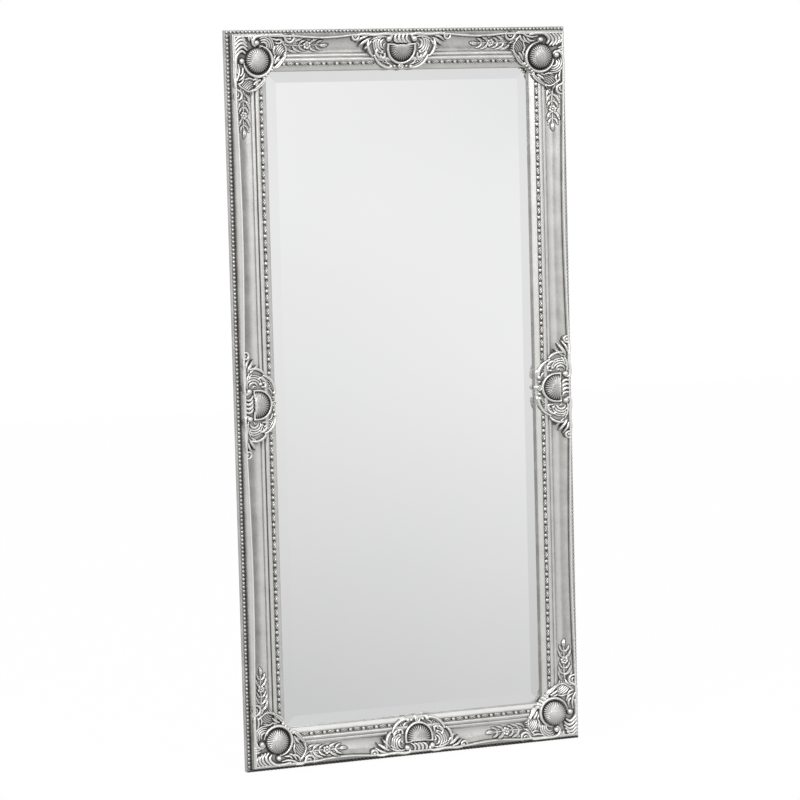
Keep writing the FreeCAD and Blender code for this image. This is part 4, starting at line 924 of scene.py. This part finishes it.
# Each pair of leaves: its place on the stem, its reach along and out, and its wire
LEAVES = (
    (0.0, 26, 15.6, 3.1), (0.16, 22, 14.6, 2.9), (0.31, 15, 11.5, 2.3), (0.56, 19, 13.6, 2.8),
    (0.71, 15, 10.6, 2.3),
)
PETALS, PETAL_OUT = 6, 6.2


def sprig(length_of_rail):
    """Leaves in pairs, a flower and a bud on a stem, lying in the cove of a rail."""
    shape = Relief((138.0, 18.6), (247.0, 54.4), SPRIG_STEP)
    start, length, middle = SPRIG_START, SPRIG_LENGTH, SPRIG_MIDDLE
    shape.tube(spline([(start, middle - 2), (start + 30, middle + 0.6), (start + 60, middle - 0.4),
                       (start + 88, middle)]), (2.2, 1.9, 1.7, 1.4), 0.6)
    for share, reach, out, wire in LEAVES:
        for side in (1, -1):
            foot = np.array([start + length * share, middle + 0.6 * side])
            bend = foot + (0.30 * reach, 0.62 * out * side)
            tip = foot + (reach, out * side)
            shape.stroke([foot, bend, tip], wire, 2.2, 0.5, 0.22)
            shape.carve(spline([foot, bend, 0.85 * tip + 0.15 * bend]), 0.5, 1.6)
    flower = np.array([start + length * 0.50, middle])
    for petal in range(PETALS):
        turn = petal * TAU / PETALS + 0.3
        centre = flower + PETAL_OUT * np.array([math.cos(turn), math.sin(turn)])
        shape.dome(*centre, 3.4, 3.8, 3.0, counts=True)
        shape.carve([flower, centre + 0.4 * (centre - flower)], 0.5, 1.4)
    shape.dome(*flower, 2.8, 3.6, 3.8, counts=True)
    bud = spline([(start + length * 0.82, middle), (start + length * 0.91, middle + 0.8),
                  (start + length, middle - 1.6)])
    shape.tube(bud, (1.8, 4.0, 4.4, 3.2, 1.0), (1.0, 1.8, 1.8, 1.2, 0.4), 0.85)
    shape.carve(bud, 0.6, 1.6)
    # A thin film, dark with patina and painted shade, joins the leaves
    shape.relief = np.maximum(shape.relief, FILM_HEIGHT)
    joined = (shape.s < start + 1.1 * length) & (shape.u > 20) & (shape.u < 53)
    shape.solid = np.where(joined, shape.solid + 2.6, NOTHING)
    bed = swelled_height(shape.s, shape.u, length_of_rail)
    return relief_solid(shape, bed, bed, bed - 2.0, shape.u, SPRIG_PATINA, FILM_PATINA_AND_SHADE)


# How strong the patina is on each casting, and how much more darkness lies all over it: partly patina, partly
# painted shade for how the light falls at each place
PATINA_AND_SHADE_BY_PLACE = {
    "bottom": (0.9, 0.02), "top": (1.0, 0.0), "left": (0.72, 0.07), "right": (0.72, 0.11),
    "bottom_left": (0.95, 0.03), "bottom_right": (0.74, 0.05),
    "top_right": (0.95, 0.12), "top_left": (1.0, 0.03),
}
for places, part, (points, quads, dark) in (
    (SIDES, "_centre_cartouche", crest()), (CORNERS, "_corner_cartouche", corner()),
):
    for place_name, place in places.items():
        strength, patina_and_shade_film = PATINA_AND_SHADE_BY_PLACE[place_name]
        new_piece(place_name + part, "_carving", place, points, quads, patina_and_shade_film + strength * dark)
on_rail, on_stile = sprig(WIDTH), sprig(HEIGHT)
for corner_name, place in CORNERS.items():
    turned = corner_name in ("bottom_right", "top_left")
    for way, (points, quads, dark) in (("rail", on_rail), ("stile", on_stile)):
        if (way == "stile") != turned:
            points, quads = points[:, [1, 0, 2]], quads[:, ::-1]
        new_piece(f"{corner_name}_{way}_sprig", "_carving", place, points, quads, dark)


# Pieces of the CAD model that keep their shape

for names, material in (
    (("mirror_glass",), MIRROR),
    (("backing_board",), BOARD),
    (("glazing_points", "v_nails", "hanger_screws", "left_hanger_strap", "right_hanger_strap",
      "left_hanger_ring", "right_hanger_ring"), ZINC),
    (("wall_bumpers",), RUBBER),
):
    for name in names:
        mesh = frame["nodes"][name].data
        mesh.materials.clear()
        mesh.materials.append(material)


# Floor, lights and camera

FLOOR_HALF, FLOOR_LEVEL, FLOOR_GLOW = 9, -0.001, 0.985


def floor():
    """A pale floor that the camera sees almost white and that keeps the object's shadow."""
    material, nodes, links, shader = new_material("pale_floor")
    shader.inputs["Roughness"].default_value = 0.9
    grain, = noises(nodes, links, (40, 3, 0.5))
    ramp(nodes, links, grain, shader.inputs["Base Color"], ((0.3, 0.83), (0.7, 0.86)))
    path = nodes.new("ShaderNodeLightPath")
    glow = nodes.new("ShaderNodeEmission")
    glow.inputs["Color"].default_value = (1, 1, 1, 1)
    mix = nodes.new("ShaderNodeMixShader")
    seen = maths(nodes, links, "MULTIPLY", path.outputs["Is Camera Ray"], FLOOR_GLOW)
    links.new(seen, mix.inputs["Fac"])
    links.new(shader.outputs[0], mix.inputs[1])
    links.new(glow.outputs[0], mix.inputs[2])
    links.new(mix.outputs[0], nodes["Material Output"].inputs["Surface"])
    mesh = bpy.data.meshes.new("floor")
    corners = [(x * FLOOR_HALF, y * FLOOR_HALF, FLOOR_LEVEL) for x, y in ((-1, -1), (1, -1), (1, 1), (-1, 1))]
    mesh.from_pydata(corners, [], [(0, 1, 2, 3)])
    mesh.materials.append(material)
    piece = add("floor", mesh)
    piece.visible_glossy = False


# What metal and the mirror see: greys from straight down (0) to straight up (1), dimmed by two broad flags
# that stand at values of the direction's X, so that the bevels at the sides show
BACKDROP = (
    (0.0, 0.52), (0.28, 0.60), (0.32, 0.69), (0.36, 0.69), (0.39, 0.65), (0.408, 0.66), (0.434, 0.77),
    (0.462, 0.87), (0.49, 0.91), (0.512, 0.88), (0.575, 0.75), (0.68, 0.90), (0.85, 1.05),
)
FLAGS = (
    (0.0, 1.0), (0.13, 1.0), (0.16, 0.955), (0.27, 0.955), (0.30, 1.0),
    (0.43, 1.0), (0.455, 0.905), (0.57, 0.905), (0.60, 1.0),
)
# The part that the flat glass mirrors is brighter low on the right and high on the left
TILT_ACROSS = ((0.22, 0.5), (0.31, 0.0), (0.42, 1.0), (0.47, 0.5))
TILT_UP = (
    (0.36, 0.5), (0.398, 0.825), (0.42, 0.75), (0.4745, 0.7), (0.4875, 0.5), (0.51, 0.25), (0.53, 0.25),
    (0.56, 0.5),
)
TILT, AMBIENT = 0.4, 0.62


def world():
    """An even pale light, a graded backdrop for what is glossy, and white for the camera."""
    studio = bpy.data.worlds.new("studio")
    studio.use_nodes = True
    bpy.context.scene.world = studio
    nodes, links = studio.node_tree.nodes, studio.node_tree.links
    ambient = nodes["Background"]
    mirrored, white = nodes.new("ShaderNodeBackground"), nodes.new("ShaderNodeBackground")
    ambient.inputs["Color"].default_value = (1, 1, 1, 1)
    ambient.inputs["Strength"].default_value = AMBIENT
    white.inputs["Color"].default_value = (1, 1, 1, 1)
    split = nodes.new("ShaderNodeSeparateXYZ")
    links.new(nodes.new("ShaderNodeTexCoord").outputs["Generated"], split.inputs[0])
    height = maths(nodes, links, "MULTIPLY_ADD", split.outputs["Z"], 0.5, 0.5)
    both = nodes.new("ShaderNodeMix")
    both.data_type, both.blend_type = "RGBA", "MULTIPLY"
    both.inputs["Factor"].default_value = 1.0
    ramp(nodes, links, height, both.inputs["A"], BACKDROP)
    ramp(nodes, links, split.outputs["X"], both.inputs["B"], FLAGS)
    links.new(both.outputs["Result"], mirrored.inputs["Color"])
    leaning = []
    for source, stops in ((split.outputs["X"], TILT_ACROSS), (height, TILT_UP)):
        leaning.append(maths(nodes, links, "SUBTRACT", 0.0, 0.5))
        ramp(nodes, links, source, leaning[-1].node.inputs[0], stops)
    strength = maths(nodes, links, "MULTIPLY_ADD", maths(nodes, links, "MULTIPLY", *leaning), TILT, 1.0)
    links.new(strength, mirrored.inputs["Strength"])
    path = nodes.new("ShaderNodeLightPath")
    seen = maths(nodes, links, "MAXIMUM", path.outputs["Is Camera Ray"], path.outputs["Is Transmission Ray"])
    shade = ambient
    for share, other in ((path.outputs["Is Glossy Ray"], mirrored), (seen, white)):
        mix = nodes.new("ShaderNodeMixShader")
        links.new(share, mix.inputs["Fac"])
        links.new(shade.outputs[0], mix.inputs[1])
        links.new(other.outputs[0], mix.inputs[2])
        shade = mix
    links.new(shade.outputs[0], nodes["World Output"].inputs["Surface"])


def lamp(name, place, target, size, power):
    light = bpy.data.lights.new(name, "AREA")
    light.shape = "RECTANGLE"
    light.size, light.size_y = size
    light.energy = power
    piece = add(name, light)
    piece.location = place
    piece.rotation_euler = (Vector(target) - Vector(place)).to_track_quat("-Z", "Y").to_euler()


IMAGE_SIZE, SENSOR = 800, 36.0
CAMERA_TURN, CAMERA_RAISED, CAMERA_ROLL = -21.44, 4.98, -1.48
CAMERA_DISTANCE, AIM_ACROSS, AIM_UP, FOCAL_PIXELS = 7081.0, -32.2, 834.5, 3000.0


def camera():
    """The photograph's camera: turn, height and roll in degrees, distance and aim in millimetres."""
    turn, raised, roll = (math.radians(value) for value in (CAMERA_TURN, CAMERA_RAISED, CAMERA_ROLL))
    back = np.array([math.sin(turn) * math.cos(raised), -math.cos(turn) * math.cos(raised), math.sin(raised)])
    right = np.cross(-back, (0, 0, 1))
    right /= np.linalg.norm(right)
    up = np.cross(right, -back)
    rolled = right * math.cos(roll) + up * math.sin(roll)
    upright = -right * math.sin(roll) + up * math.cos(roll)
    eye = back * CAMERA_DISTANCE + rolled * AIM_ACROSS + upright * AIM_UP - (0, BACK, 0)
    view = bpy.data.cameras.new("camera")
    view.sensor_width = SENSOR
    view.lens = FOCAL_PIXELS * view.sensor_width / IMAGE_SIZE
    view.clip_end = 100
    piece = add("camera", view)
    piece.matrix_world = Matrix([
        (*axes, place * MM) for axes, place in zip(zip(rolled, upright, back), eye)] + [(0, 0, 0, 1)])
    bpy.context.scene.camera = piece


floor()
world()
lamp("key", (-3.6, -3.6, 4.0), (0, 0, 0.9), (2.6, 2.6), 210)
lamp("front", (0.6, -5.5, 3.4), (0, 0, 0.8), (2.0, 1.2), 60)
camera()
bpy.context.scene.view_settings.view_transform = "Standard"
